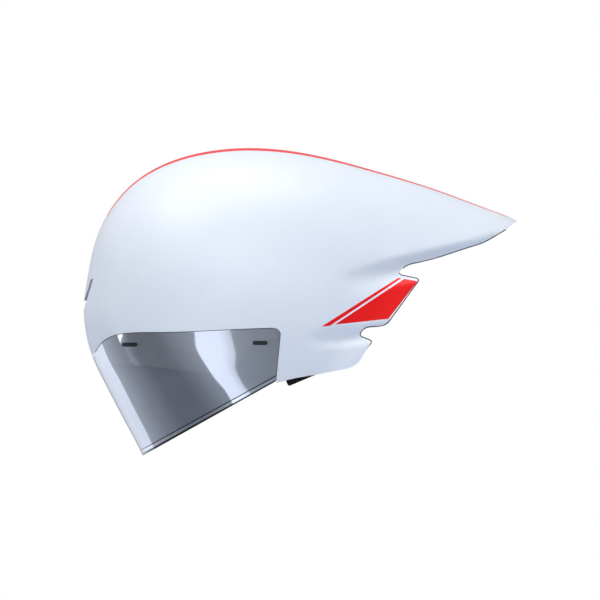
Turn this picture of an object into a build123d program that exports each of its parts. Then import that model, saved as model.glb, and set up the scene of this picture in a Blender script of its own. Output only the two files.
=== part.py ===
from build123d import *
import os
import math
import numpy as np

os.makedirs("parts", exist_ok=True)

# Frame: millimetres, front towards -X, tail towards +X, wearer's left at -Y, +Z up.
# The origin is on the table, under the middle of the helmet.

# Whole helmet
helmet_length = 355.0
helmet_height = 208.0
helmet_half_width = 100.0

# The helmet's surface is a fan of ribs about a line across the helmet, below the ear covers.
pivot_x_share = -0.107
pivot_z_share = -0.038
hub_radius = 10.0
fan_first = 4.0
fan_last = 181.0
tail_reach_share = 0.642
cheek_tuck_share = 0.05
cheek_tuck_reach = 45.0
rib_points = 33
visor_rib_points = 25

# The line over the top, from the visor's foot to the tail, in shares of length and height.
ridge_shares = [
    (-0.483, 0.005), (-0.491, 0.173), (-0.498, 0.327), (-0.500, 0.423), (-0.492, 0.523),
    (-0.475, 0.611), (-0.441, 0.712), (-0.390, 0.834), (-0.334, 0.919), (-0.260, 0.980),
    (-0.180, 1.000), (-0.084, 0.981), (0.019, 0.922), (0.126, 0.820), (0.248, 0.662),
    (0.377, 0.474), (0.461, 0.338), (0.500, 0.268),
]

# How full a rib is, by its angle: a low exponent is a sharp tail, a high one a round crown.
side_fullness = [
    (0, 1.25), (16, 1.25), (30, 1.35), (60, 2.1), (90, 2.7), (120, 2.8), (145, 2.6), (176, 2.2), (186, 2.2),
]

# Air channels pressed into each side: crease ends, depth and the widths across the crease.
upper_crease_shares = [(0.053, 0.359), (0.384, 0.265)]
lower_crease_shares = [(-0.059, 0.202), (0.093, 0.125)]
upper_channel_depth = 8.0
lower_channel_depth = 4.5
channel_rise = 11.0
channel_lip = 3.0
channel_fall = 16.0
lower_channel_fall = 9.0
channel_run_in = 70.0
lower_channel_run_in = 40.0

# Walls and clearances
shell_wall = 2.0
visor_wall = 2.2
visor_gap = 0.5
lens_gap = 0.8
seat_gap = 0.3
seat_wall = 2.5
seat_lap = 6.0
liner_gap = 0.6
soft_gap = 0.4
running_gap = 0.3
shaft_gap = 0.06
rim_peek = 0.8
overrun = 15.0
cut_past = 3.0
straight_enough = 0.001
brow_angle = 180.0

# Side outlines, in shares of length and height
visor_top_shares = [
    (-0.535, 0.388), (-0.499, 0.426), (-0.468, 0.460), (-0.447, 0.468), (-0.428, 0.465),
    (-0.404, 0.454), (-0.339, 0.410), (-0.263, 0.359), (-0.191, 0.314), (-0.103, 0.257),
]
visor_corner_shares = [(-0.103, 0.257), (-0.092, 0.242), (-0.090, 0.226)]
visor_rear_shares = [(-0.090, 0.226), (-0.142, 0.063)]
visor_foot_shares = [(-0.482, 0.0), (-0.535, -0.010)]
ear_bottom_shares = [(-0.140, 0.056), (-0.110, 0.049), (-0.043, 0.023), (0.011, 0.004)]
ear_heel_shares = [(0.011, 0.004), (0.031, 0.0), (0.048, 0.007)]
ear_tip_shares = [(0.087, 0.054), (0.091, 0.062), (0.088, 0.070)]
lower_notch_shares = [(0.075, 0.092), (0.074, 0.103), (0.079, 0.112)]
fin_bottom_shares = [(0.079, 0.112), (0.090, 0.119), (0.113, 0.110), (0.136, 0.102), (0.149, 0.110)]
fin_tip_shares = [(0.237, 0.200), (0.243, 0.210), (0.238, 0.219)]
upper_notch_shares = [(0.211, 0.251), (0.210, 0.263), (0.216, 0.269)]
tail_rim_shares = [
    (0.216, 0.269), (0.233, 0.278), (0.257, 0.273), (0.325, 0.257), (0.380, 0.249),
    (0.410, 0.245), (0.446, 0.251), (0.476, 0.259), (0.500, 0.268), (0.541, 0.284),
]
face_foot_shares = (-0.207, 0.072)
face_rear_shares = (-0.181, 0.181)
face_corner_shares = [(-0.181, 0.181), (-0.179, 0.203), (-0.191, 0.216)]
face_top_shares = [(-0.191, 0.216), (-0.305, 0.300), (-0.368, 0.352)]
face_front_shares = [(-0.368, 0.352), (-0.402, 0.354), (-0.441, 0.340), (-0.488, 0.330), (-0.535, 0.320)]

# Magnets that hold the visor
magnet_length = 12.0
magnet_height = 3.2
magnet_fit = 0.1
front_magnet_share = (-0.412, 0.413)
rear_magnet_share = (-0.140, 0.223)
magnet_tilt = 23.0

# Front intake: a slot like a smile round a tongue
intake_half_width = 26.0
intake_drop = 20.0
tongue_half_width = 19.0
tongue_drop = 14.0
intake_top_share = 0.702
insert_wall = 2.0
insert_lap = 4.0
insert_bar = 5.0
insert_slot = 3.0
duct_half_width = 20.0
duct_half_height = 6.0
mouth_depth = 19.0

# Liner and the head space inside it
head_x_share = -0.155
head_z_share = 0.337
cavity_length_share = 0.2873
cavity_width_share = 0.80
cavity_height_share = 0.5433
neck_width_share = 0.58
neck_roof_share = 0.308
groove_width = 12.0
groove_depth = 7.0
groove_spacing = 44.0
groove_floor = 40.0
tail_duct_half_width = 18.0
tail_duct_shares = [(0.080, 0.480), (0.190, 0.480), (0.385, 0.240), (0.268, 0.250)]

# Tail cover under the tail
cover_wall = 2.4
cover_front_share = 0.222
cover_rear_share = 0.470
vent_first_share = 0.262
vent_length = 5.0
vent_pitch = 11.0
vent_count = 6
vent_width_share = 0.62

# Comfort pads
brow_pad_width = 24.0
brow_pad_thickness = 6.0
brow_pad_rise = 20.0
crown_pad_width = 20.0
crown_pad_thickness = 6.0
side_pad_width = 22.0
side_pad_thickness = 6.0
side_pad_rise = 12.0
ear_pad_width = 20.0
ear_pad_thickness = 5.0
ear_pad_drop = 43.0
pad_edge = 1.6
brow_pad_reach = 46.0
crown_pad_lean = 16.0
crown_pad_first = 128.0
crown_pad_last = 62.0
side_pad_first = 62.0
side_pad_last = 112.0
ear_pad_first = 62.0
ear_pad_last = 84.0

# Fit belt, in a level band round the back of the head
belt_height = 12.0
belt_wall = 1.6
belt_inset = 8.0
belt_z_share = 0.221
temple_pin_offset = 7.0
pin_radius = 2.4
pin_head_radius = 3.8
pin_head_height = 1.0
arm_eye_radius = 6.4
anchor_radius = 7.0
anchor_wall = 2.0
anchor_stem_radius = 3.0
anchor_stem_length = 6.0
temple_arm_end = 56.0

# Dial drive: a pinion between two racks, in a housing behind the head
pitch_radius = 5.0
tooth_count = 10
tooth_addendum = 0.8
tooth_dedendum = 0.95
tooth_tip_width = 0.8
tooth_root_width = 1.7
rack_wall = 2.0
rack_back = 3.0
rack_tab_start = 34.0
rack_tab_width = 4.0
rack_overlap = 6.0
housing_half_width = 20.0
housing_half_height = 12.0
housing_corner = 3.0
base_wall = 2.0
lid_wall = 2.0
housing_inset = 8.8
knob_radius = 12.5
knob_height = 8.0
knob_wall = 2.0
knob_hollow = 3.0
knob_scallops = 16
scallop_radius = 1.6
knob_gap = 0.4
shaft_radius = 2.5
pilot_radius = 1.5
pilot_length = 1.5
spring_radius = 8.0
spring_wall = 0.8
spring_height = 1.8
spring_sweep = 140.0
spring_nub = 1.0
screw_radius = 0.9
screw_head_radius = 1.7
screw_head_height = 0.8
screw_length = 4.0
screw_half_spacing = 17.0
nape_pad_half_width = 19.0
nape_pad_height = 20.0
nape_pad_thickness = 5.0

# Straps
strap_width = 14.0
strap_wall = 1.5
button_radius = 6.5
button_wall = 1.6
button_stem_radius = 2.0
button_stem_length = 5.0
front_button_offset = -3.0
rear_button_offset = 62.0
button_z_share = 0.120
divider_x_offset = 25.0
divider_spacing_share = 0.66
divider_z_share = 0.082
divider_length = 24.0
divider_height = 15.0
divider_wall = 3.2
chin_strap_low = 9.5
buckle_width = 25.0
buckle_length = 22.0
buckle_height = 8.0
buckle_wall = 1.8
buckle_plug_length = 9.0
buckle_start = -20.0
prong_width = 3.0
prong_length = 12.0
prong_height = 4.0


def place(share):
    """A point of the side view, from shares of the helmet's length and height."""
    return (share[0] * helmet_length, share[1] * helmet_height)


def places(shares):
    return [place(share) for share in shares]


def smooth_curve(xs, ys):
    """A natural cubic spline through the points, as a function."""
    xs = np.array(xs, float)
    ys = np.array(ys, float)
    count = len(xs)
    steps = np.diff(xs)
    matrix = np.eye(count)
    right = np.zeros(count)
    for i in range(1, count - 1):
        matrix[i, i - 1] = steps[i - 1]
        matrix[i, i] = 2 * (steps[i - 1] + steps[i])
        matrix[i, i + 1] = steps[i]
        right[i] = 6 * ((ys[i + 1] - ys[i]) / steps[i] - (ys[i] - ys[i - 1]) / steps[i - 1])
    bend = np.linalg.solve(matrix, right)

    def value(x):
        x = np.asarray(x, float)
        k = np.clip(np.searchsorted(xs, x) - 1, 0, count - 2)
        low = x - xs[k]
        high = xs[k + 1] - x
        step = steps[k]
        curved = (bend[k] * high**3 + bend[k + 1] * low**3) / (6 * step)
        left = (ys[k] / step - bend[k] * step / 6) * high
        return curved + left + (ys[k + 1] / step - bend[k + 1] * step / 6) * low

    return value


pivot_x, pivot_z = place((pivot_x_share, pivot_z_share))
ridge = places(ridge_shares)
ridge_polar = sorted(
    (math.degrees(math.atan2(z - pivot_z, x - pivot_x)), math.hypot(x - pivot_x, z - pivot_z))
    for x, z in ridge
)
tail_reach = tail_reach_share * helmet_length
tail_reach_angles = [0.0, 8.0]
last_rib_angle = 186.0
rib_angles = tail_reach_angles + [angle for angle, reach in ridge_polar] + [last_rib_angle]
rib_reaches = [tail_reach, tail_reach] + [reach for angle, reach in ridge_polar] + [ridge_polar[-1][1]]
rib_reach = smooth_curve(rib_angles, rib_reaches)
rib_fullness = smooth_curve([a for a, n in side_fullness], [n for a, n in side_fullness])


def ease(t):
    """Smooth step from 0 to 1."""
    t = np.clip(t, 0, 1)
    return t * t * (3 - 2 * t)


def one_channel(x, z, shares, depth, fall, run_in):
    """Depth of one side channel at a point of the side view."""
    (start_x, start_z), (end_x, end_z) = places(shares)
    crease_z = start_z + (x - start_x) * (end_z - start_z) / (end_x - start_x)
    below = crease_z - z
    deepening = ease((below + channel_lip) / channel_rise)
    recovery = ease((below + channel_lip - channel_rise) / fall)
    return depth * ease((x - start_x) / run_in) * deepening * (1 - recovery)


def channel_depth(x, z):
    upper = one_channel(x, z, upper_crease_shares, upper_channel_depth, channel_fall, channel_run_in)
    lower = one_channel(
        x, z, lower_crease_shares, lower_channel_depth, lower_channel_fall, lower_channel_run_in
    )
    return upper + lower


def fan_grid(inset, angles, point_count):
    """Points on the helmet's surface, one row for each rib, moved inwards by the inset."""
    angles = np.array(angles, float)
    rows = []
    for angle in angles:
        reach = float(rib_reach(angle))
        fullness = float(rib_fullness(angle))
        limit = math.acos((hub_radius / reach) ** (fullness / 2))
        turns = np.linspace(-limit, limit, point_count)
        out = np.cos(turns) ** (2 / fullness) * reach
        x = pivot_x + out * math.cos(math.radians(angle))
        z = pivot_z + out * math.sin(math.radians(angle))
        tuck = 1 - cheek_tuck_share * np.exp(-((out / cheek_tuck_reach) ** 2))
        y = helmet_half_width * np.sin(turns) * tuck
        y = y - np.sign(turns) * channel_depth(x, z)
        rows.append(np.stack([x, y, z], -1))
    grid = np.array(rows)
    if inset == 0:
        return grid
    along = np.gradient(grid, angles, axis=0)
    across = np.gradient(grid, axis=1)
    normal = np.cross(across, along)
    normal /= np.linalg.norm(normal, axis=-1, keepdims=True)
    middle = point_count // 2
    if normal[len(angles) // 2, middle, 2] < 0:
        normal = -normal
    radial = np.stack([np.cos(np.radians(angles)), 0 * angles, np.sin(np.radians(angles))], -1)[:, None, :]
    sideways = np.array([0.0, 1.0, 0.0])
    radial_part = (normal * radial).sum(-1)
    side_part = normal[..., 1]
    length = np.hypot(radial_part, side_part)
    direction = (radial_part[..., None] * radial + side_part[..., None] * sideways) / length[..., None]
    return grid - direction * (inset / length)[..., None]


# Ribs stand close together over the channels and wide apart over the crown.
channel_fan = list(np.linspace(12.0, 56.0, 17))
crown_fan = list(np.linspace(66.0, fan_last, 12))
shell_fan = [fan_first] + channel_fan + crown_fan
visor_fan = list(np.linspace(68.0, fan_last, 16))


def rib_curve(row):
    """A smooth curve through a rib's points, spaced alike on every rib."""
    points = [Vector(*point) for point in row]
    return Edge.make_spline(points, parameters=[float(t) for t in np.linspace(0, 1, len(points))])


def dome(inset, angles, point_count):
    """Everything inside the helmet's surface, moved inwards by the inset."""
    wires = []
    for row in fan_grid(inset, angles, point_count):
        curve = rib_curve(row)
        wires.append(Wire([curve, Edge.make_line(curve @ 1, curve @ 0)]))
    return Solid.make_loft(wires)


def skin(outer, inner, angles, point_count):
    """The wall between two insets of the helmet's surface."""
    wires = []
    for out_row, in_row in zip(fan_grid(outer, angles, point_count), fan_grid(inner, angles, point_count)):
        outside = rib_curve(out_row)
        inside = rib_curve(in_row[::-1])
        wires.append(Wire([
            outside,
            Edge.make_line(outside @ 1, inside @ 0),
            inside,
            Edge.make_line(inside @ 1, outside @ 0),
        ]))
    return Solid.make_loft(wires)


def grow(runs, amount):
    """Move a chain of outline runs sideways; a positive amount goes to the left of its travel."""
    chain = [runs[0][0]]
    for run in runs:
        for point in run:
            if point != chain[-1]:
                chain.append(point)
    moved = {}
    for i, (x, z) in enumerate(chain):
        before = chain[max(i - 1, 0)]
        after = chain[min(i + 1, len(chain) - 1)]
        run_x = after[0] - before[0]
        run_z = after[1] - before[1]
        length = math.hypot(run_x, run_z)
        moved[(x, z)] = (x - run_z / length * amount, z + run_x / length * amount)
    return [[moved[point] for point in run] for run in runs]


def joined(runs):
    """Add the straight runs that join each run to the next and the last to the first."""
    chain = []
    for i, run in enumerate(runs):
        chain.append(run)
        follower = runs[(i + 1) % len(runs)][0]
        if run[-1] != follower:
            chain.append([run[-1], follower])
    return chain


def side_prism(runs, half_width):
    """A solid as wide as the helmet, from a closed outline in the side view."""
    edges = []
    for run in joined(runs):
        points = [Vector(x, 0, z) for x, z in run]
        if len(points) == 2:
            edges.append(Edge.make_line(points[0], points[1]))
        else:
            edges.append(Edge.make_spline(points))
    return extrude(Face(Wire(edges)), amount=half_width, dir=(0, 1, 0), both=True)


def block(x0, x1, y0, y1, z0, z1):
    """A box between two corners."""
    return Pos((x0 + x1) / 2, (y0 + y1) / 2, (z0 + z1) / 2) * Box(x1 - x0, y1 - y0, z1 - z0)


def rod(start, direction, radius, length):
    """A cylinder from its start, along a direction."""
    plane = Plane(origin=start, z_dir=direction)
    return plane * Pos(0, 0, length / 2) * Cylinder(radius, length)


wide = helmet_half_width + overrun
front_end = -helmet_length / 2 - overrun
rear_end = helmet_length / 2 + overrun
top_end = helmet_height + overrun
visor_edge = [places(visor_top_shares), places(visor_corner_shares), places(visor_rear_shares)]
ear_runs = [places(ear_bottom_shares), places(ear_heel_shares)]
fin_runs = [
    places(ear_tip_shares), places(lower_notch_shares), places(fin_bottom_shares), places(fin_tip_shares),
    places(upper_notch_shares),
]
tail_run = places(tail_rim_shares)
face_foot = place(face_foot_shares)
face_rear = place(face_rear_shares)
face_runs = [
    [face_foot, face_rear], places(face_corner_shares), places(face_top_shares), places(face_front_shares),
]


def shell_outline():
    """The painted shell's outline: visor edge, ear cover, fin and tail, then well clear of the crown."""
    beyond = [(rear_end + overrun, tail_run[-1][1]), (rear_end + overrun, top_end)]
    before = [(front_end - overrun, top_end), (front_end - overrun, visor_edge[0][0][1])]
    return grow(visor_edge, visor_gap) + ear_runs + fin_runs + [tail_run, beyond, before]


intake_top = intake_top_share * helmet_height


def intake_slot():
    """A smile-shaped prism along X that cuts the slot round the tongue."""
    outer = Edge.make_three_point_arc(
        Vector(0, -intake_half_width, intake_top),
        Vector(0, 0, intake_top - intake_drop),
        Vector(0, intake_half_width, intake_top),
    )
    inner = Edge.make_three_point_arc(
        Vector(0, tongue_half_width, intake_top),
        Vector(0, 0, intake_top - tongue_drop),
        Vector(0, -tongue_half_width, intake_top),
    )
    face = Face(Wire([
        outer, Edge.make_line(outer @ 1, inner @ 0), inner, Edge.make_line(inner @ 1, outer @ 0),
    ]))
    return extrude(Pos(front_end, 0, 0) * face, amount=helmet_length / 4, dir=(1, 0, 0))


def make_shell():
    wall = skin(0, shell_wall, shell_fan, rib_points)
    return wall & side_prism(shell_outline(), wide) - intake_slot()


def pill(share, length, height):
    """A pill-shaped prism across the helmet, for one magnet on each side."""
    x, z = place(share)
    slot = Plane.XZ * Rot(0, 0, -magnet_tilt) * SlotOverall(length, height)
    return Pos(x, 0, z) * extrude(slot, amount=wide, both=True)


def pills(growth):
    length = magnet_length + 2 * growth
    height = magnet_height + 2 * growth
    return pill(front_magnet_share, length, height) + pill(rear_magnet_share, length, height)


def visor_outline():
    return visor_edge + [places(visor_foot_shares)]


def seat_outline():
    """The black frame behind the visor's edge, open at the face."""
    foot = grow(visor_edge, seat_lap)[2][1]
    return grow(visor_edge, seat_lap) + [[foot, (foot[0], face_foot[1])]] + face_runs


def make_visor():
    wall = skin(0, visor_wall, visor_fan, visor_rib_points) & side_prism(visor_outline(), wide)
    return wall - pills(magnet_fit)


def make_visor_magnets():
    return skin(0, visor_wall, visor_fan, visor_rib_points) & pills(0)


seat_out = visor_wall + lens_gap
seat_in = seat_out + seat_wall


def make_seat_frame():
    wall = skin(seat_out, seat_in, visor_fan, visor_rib_points)
    return wall & side_prism(seat_outline(), wide) - pills(magnet_fit)


def make_seat_magnets():
    return skin(seat_out, seat_in, visor_fan, visor_rib_points) & pills(0)


mouth_half_width = intake_half_width + insert_lap
mouth_low = intake_top - intake_drop - insert_lap
mouth_high = intake_top + insert_lap
intake_front = -helmet_length / 2


def make_intake_insert():
    """A curved black grille plate behind the intake slot."""
    outside = shell_wall + 2 * seat_gap
    plate = skin(outside, outside + insert_wall, visor_fan, visor_rib_points)
    gap = running_gap
    plate = plate & block(
        front_end, intake_front / 2, -mouth_half_width + gap, mouth_half_width - gap,
        mouth_low + gap, mouth_high - gap,
    )
    pitch = insert_bar + insert_slot
    count = int(intake_half_width / pitch)
    for i in range(-count, count + 1):
        y = i * pitch
        plate = plate - block(
            front_end, intake_front / 2, y - insert_slot / 2, y + insert_slot / 2,
            mouth_low + insert_lap, mouth_high - 2 * insert_lap,
        )
    return plate


head_x = head_x_share * helmet_length
head_z = head_z_share * helmet_height
cavity_half_length = cavity_length_share * helmet_length
cavity_half_width = cavity_width_share * helmet_half_width
cavity_height = cavity_height_share * helmet_height
neck_half_width = neck_width_share * helmet_half_width


def head_space(growth):
    """The space for the head: a half ellipsoid over an elliptic well."""
    drop_share = (head_z + overrun) / cavity_height
    profile = Face(Wire([
        Edge.make_line((0, 0, -drop_share), (1, 0, -drop_share)),
        Edge.make_line((1, 0, -drop_share), (1, 0, 0)),
        Edge.make_three_point_arc((1, 0, 0), (math.sqrt(0.5), 0, math.sqrt(0.5)), (0, 0, 1)),
        Edge.make_line((0, 0, 1), (0, 0, -drop_share)),
    ]))
    unit = revolve(profile, axis=Axis.Z)
    size = (cavity_half_length + growth, cavity_half_width + growth, cavity_height + growth)
    return Pos(head_x, 0, head_z) * scale(unit, by=size)


def neck_space():
    """The gap between the fins, under the tail, for the neck."""
    roof = neck_roof_share * helmet_height
    rear_x, rear_z = place(upper_notch_shares[2])
    return side_prism([
        [(head_x, -overrun), (head_x, roof)],
        [(head_x + cavity_half_length, roof), (rear_x, rear_z + cover_wall + rim_peek)],
        [(rear_x + overrun, rear_z), (rear_x + overrun, -overrun)],
    ], neck_half_width)


def liner_outline():
    """The foam's outline: inside the shell's edge at the front and foot, just past it at the fins."""
    face_edge = grow(face_runs, seat_gap)
    brow = face_edge[3][-1]
    heel = [(x, z + shell_wall) for x, z in ear_runs[1]]
    bottom = [(x, z + shell_wall) for x, z in ear_runs[0]]
    fins = grow(fin_runs, -rim_peek)
    under_tail = grow([tail_run], cover_wall + liner_gap)[0]
    beyond = [(rear_end + overrun, under_tail[-1][1]), (rear_end + overrun, top_end)]
    before = [(front_end - overrun, top_end), (front_end - overrun, brow[1])]
    face_back = [[(x, z) for x, z in run[::-1]] for run in face_edge[::-1]]
    return face_back + [bottom, heel] + fins + [under_tail, beyond, before]


def make_liner():
    foam = dome(shell_wall + liner_gap, shell_fan, rib_points) & side_prism(liner_outline(), wide)
    pocket_outline = grow(visor_edge, seat_lap + liner_gap)
    pocket_outline = pocket_outline + [[pocket_outline[2][1], (front_end - overrun, -overrun)]]
    pocket = skin(-cut_past, seat_in + seat_gap, visor_fan, visor_rib_points)
    foam = foam - (pocket & side_prism(pocket_outline, wide))
    foam = foam - head_space(0)
    foam = foam - neck_space()
    mouth_back = ridge_x_at(intake_top) + mouth_depth
    foam = foam - block(front_end, mouth_back, -mouth_half_width, mouth_half_width, mouth_low, mouth_high)
    duct_z = (mouth_low + mouth_high) / 2
    foam = foam - block(
        mouth_back, head_x, -duct_half_width, duct_half_width,
        duct_z - duct_half_height, duct_z + duct_half_height,
    )
    duct = places(tail_duct_shares)
    foam = foam - side_prism([duct[:2], duct[2:]], tail_duct_half_width)
    grown = head_space(groove_depth)
    for i in (-1, 0, 1):
        y = i * groove_spacing
        channel = block(
            head_x - cavity_half_length, head_x + cavity_half_length,
            y - groove_width / 2, y + groove_width / 2, head_z + groove_floor, helmet_height,
        )
        foam = foam - (grown & channel)
    return foam


def ridge_x_at(z):
    """Where the front of the ridge lies at a height."""
    fronts = [point for point in ridge if point[0] < -helmet_length / 4]
    heights = [point[1] for point in fronts]
    return float(np.interp(z, heights, [point[0] for point in fronts]))


def make_tail_cover():
    """The black panel under the tail, with its outlet vents."""
    low = grow([tail_run], -rim_peek)[0]
    high = grow([tail_run], cover_wall)[0][::-1]
    panel = side_prism([low, high], wide) & block(
        cover_front_share * helmet_length, cover_rear_share * helmet_length,
        -wide, wide, 0, helmet_height / 2,
    )
    panel = dome(shell_wall + liner_gap, shell_fan, rib_points) & panel
    for i in range(vent_count):
        x = vent_first_share * helmet_length + i * vent_pitch
        angle = math.degrees(math.atan2(tail_run[4][1] - pivot_z, x - pivot_x))
        reach = math.hypot(tail_run[4][1] - pivot_z, x - pivot_x) / float(rib_reach(angle))
        half = math.sqrt(max(1 - reach ** float(rib_fullness(angle)), 0)) * helmet_half_width
        half = half * vent_width_share
        panel = panel - block(x, x + vent_length, -half, half, 0, helmet_height / 2)
    return panel


def head_point(direction):
    """A point on the wall of the head space; below its middle the wall is upright."""
    x, y, z = direction
    size = math.hypot(x, y) if z < 0 else math.sqrt(x * x + y * y + z * z)
    rise = z if z < 0 else z / size
    return Vector(
        head_x + cavity_half_length * x / size, cavity_half_width * y / size, head_z + cavity_height * rise
    )


def head_normal(point):
    """The direction out of the head space's wall at a point."""
    x = (point.X - head_x) / cavity_half_length**2
    y = point.Y / cavity_half_width**2
    z = max(point.Z - head_z, 0) / cavity_height**2
    return Vector(x, y, z).normalized()


def onto_wall(point):
    """The wall's point in the same direction from the middle of the head space."""
    return head_point((
        (point.X - head_x) / cavity_half_length,
        point.Y / cavity_half_width,
        (point.Z - head_z) / cavity_height,
    ))


pad_ends = [0.5, 0.86, 1.0, 1.0, 1.0, 0.86, 0.5]


def bow(first, middle, last):
    """An arc through three points, or a straight edge where they are in line."""
    bend = (middle - first).cross(last - middle).length
    if bend < straight_enough * (last - first).length ** 2:
        return Edge.make_line(first, last)
    return Edge.make_three_point_arc(first, middle, last)


def wall_pad(directions, width, thickness):
    """A crowned pad on the head space's wall, lofted through sections along its length."""
    middles = [head_point(direction) for direction in directions]
    wires = []
    for i, middle in enumerate(middles):
        before = middles[max(i - 1, 0)]
        after = middles[min(i + 1, len(middles) - 1)]
        share = pad_ends[i]
        normal = head_normal(middle)
        side = normal.cross((after - before).normalized()).normalized()
        along = side.cross(normal)
        reach = side * (width * share / 2)
        back = [onto_wall(middle + reach), middle, onto_wall(middle - reach)]
        back = [point - along * (point - middle).dot(along) for point in back]
        normals = [head_normal(point) for point in back]
        normals = [(n - along * n.dot(along)).normalized() for n in normals]
        lows = [p - n * soft_gap for p, n in zip(back, normals)]
        first_edge = lows[0] - normals[0] * (pad_edge * share)
        last_edge = lows[2] - normals[2] * (pad_edge * share)
        crown = lows[1] - normal * (thickness * (0.5 + share / 2))
        wires.append(Wire([
            bow(lows[0], lows[1], lows[2]),
            Edge.make_line(lows[2], last_edge),
            bow(last_edge, crown, first_edge),
            Edge.make_line(first_edge, lows[0]),
        ]))
    return Solid.make_loft(wires)


def level_directions(first, last, rise):
    """Directions round the wall at one height, from one plan angle to another."""
    height = rise / cavity_height
    flat = math.sqrt(1 - height * height) if height > 0 else 1
    angles = np.linspace(first, last, len(pad_ends))
    return [(flat * math.cos(math.radians(a)), flat * math.sin(math.radians(a)), height) for a in angles]


def crown_directions(lean, first, last):
    """Directions over the top, from front to rear, leaning to one side."""
    tilt = math.radians(lean)
    angles = [math.radians(a) for a in np.linspace(first, last, len(pad_ends))]
    return [(math.cos(a) * math.cos(tilt), math.sin(tilt), math.sin(a) * math.cos(tilt)) for a in angles]


belt_z = belt_z_share * helmet_height
belt_a = cavity_half_length - belt_inset
belt_b = cavity_half_width - belt_inset
pin_x = head_x - temple_pin_offset
housing_x = head_x + belt_a - housing_inset


def belt_point(angle, growth):
    """A point of the belt's plan outline."""
    turn = math.radians(angle)
    return Vector(head_x + (belt_a + growth) * math.cos(turn), (belt_b + growth) * math.sin(turn), 0)


def belt_band(first, last, height):
    """A thin upright band round the head, between two plan angles."""
    angles = np.linspace(first, last, 7)
    outer = [belt_point(a, belt_wall / 2) for a in angles]
    inner = [belt_point(a, -belt_wall / 2) for a in angles][::-1]
    face = Face(Wire([
        Edge.make_spline(outer), Edge.make_line(outer[-1], inner[0]),
        Edge.make_spline(inner), Edge.make_line(inner[-1], outer[0]),
    ]))
    return Pos(0, 0, belt_z - height / 2) * extrude(face, amount=height, dir=(0, 0, 1))


pin_angle = math.degrees(math.acos(-temple_pin_offset / belt_a))
pin_y = belt_b * math.sin(math.radians(pin_angle))
plate_reach = temple_pin_offset + anchor_radius
wall_y_at_pin = cavity_half_width * math.sqrt(1 - (plate_reach / cavity_half_length) ** 2)


def make_temple_anchor(side):
    """A pin fixed in the foam, with a head that holds the arm on it."""
    plate_out = wall_y_at_pin - soft_gap
    plate_in = plate_out - anchor_wall
    shank_in = pin_y - belt_wall / 2 - running_gap
    stem = rod((pin_x, plate_out, belt_z), (0, 1, 0), anchor_stem_radius, anchor_stem_length)
    plate = rod((pin_x, plate_in, belt_z), (0, 1, 0), anchor_radius, anchor_wall)
    shank = rod((pin_x, shank_in, belt_z), (0, 1, 0), pin_radius, plate_in - shank_in)
    head = rod((pin_x, shank_in - pin_head_height, belt_z), (0, 1, 0), pin_head_radius, pin_head_height)
    return mirrored(stem + plate + shank + head, side)


def mirrored(shape, side):
    """The shape as made on the right, or its mirror image on the left."""
    return shape if side > 0 else mirror(shape, about=Plane.XZ)


def anchor_holes():
    """Holes in the foam for the temple anchors and the strap buttons."""
    holes = rod(
        (pin_x, wall_y_at_pin - cut_past, belt_z), (0, 1, 0),
        anchor_stem_radius + magnet_fit, anchor_stem_length + cut_past,
    )
    for offset in (front_button_offset, rear_button_offset):
        point, normal = button_place(offset)
        start = point - normal * soft_gap
        holes = holes + rod(start, normal, button_stem_radius + magnet_fit, button_stem_length + soft_gap)
    return holes + mirror(holes, about=Plane.XZ)


def make_temple_arm(side):
    band = belt_band(temple_arm_end, pin_angle, belt_height)
    eye = rod((pin_x, pin_y - belt_wall / 2, belt_z), (0, 1, 0), arm_eye_radius, belt_wall)
    hole = rod((pin_x, pin_y - belt_wall, belt_z), (0, 1, 0), pin_radius + shaft_gap, 2 * belt_wall)
    return mirrored(band + eye - hole, side)


rack_x0 = housing_x + base_wall + running_gap
rack_x1 = rack_x0 + rack_wall
tab_y0 = rack_tab_start
tab_y1 = rack_tab_start + rack_tab_width
belt_arm_start = temple_arm_end - math.degrees(running_gap / belt_b)
belt_arm_end = math.degrees(math.asin((tab_y1 + running_gap) / (belt_b - belt_wall / 2)))
tab_x0 = head_x + belt_a * math.cos(math.radians(belt_arm_end)) - belt_wall


def make_belt_arm(side):
    return mirrored(belt_band(belt_arm_end, belt_arm_start, belt_height), side)


tooth_pitch = 2 * math.pi * pitch_radius / tooth_count


def make_rack(side):
    """A toothed bar and its end tab; the left bar runs over the pinion, the right one under it."""
    over = -side
    root = pitch_radius + tooth_dedendum
    bar = block(rack_x0, rack_x1, -rack_overlap, tab_y1, root, root + rack_back)
    tab = block(tab_x0, rack_x1, tab_y0, tab_y1, -belt_height / 2, root + rack_back)
    count = int(tab_y0 / tooth_pitch)
    shape = bar + tab
    for i in range(-2, count):
        y = (i + 0.5) * tooth_pitch
        if y - tooth_root_width / 2 < -rack_overlap:
            continue
        tooth = Face(Wire.make_polygon([
            (rack_x0, y - tooth_root_width / 2, root),
            (rack_x0, y + tooth_root_width / 2, root),
            (rack_x0, y + tooth_tip_width / 2, pitch_radius - tooth_addendum),
            (rack_x0, y - tooth_tip_width / 2, pitch_radius - tooth_addendum),
        ]))
        shape = shape + extrude(tooth, amount=rack_wall, dir=(1, 0, 0))
    if over < 0:
        shape = mirror(shape, about=Plane.XY)
    return Pos(0, 0, belt_z) * mirrored(shape, side)


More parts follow.
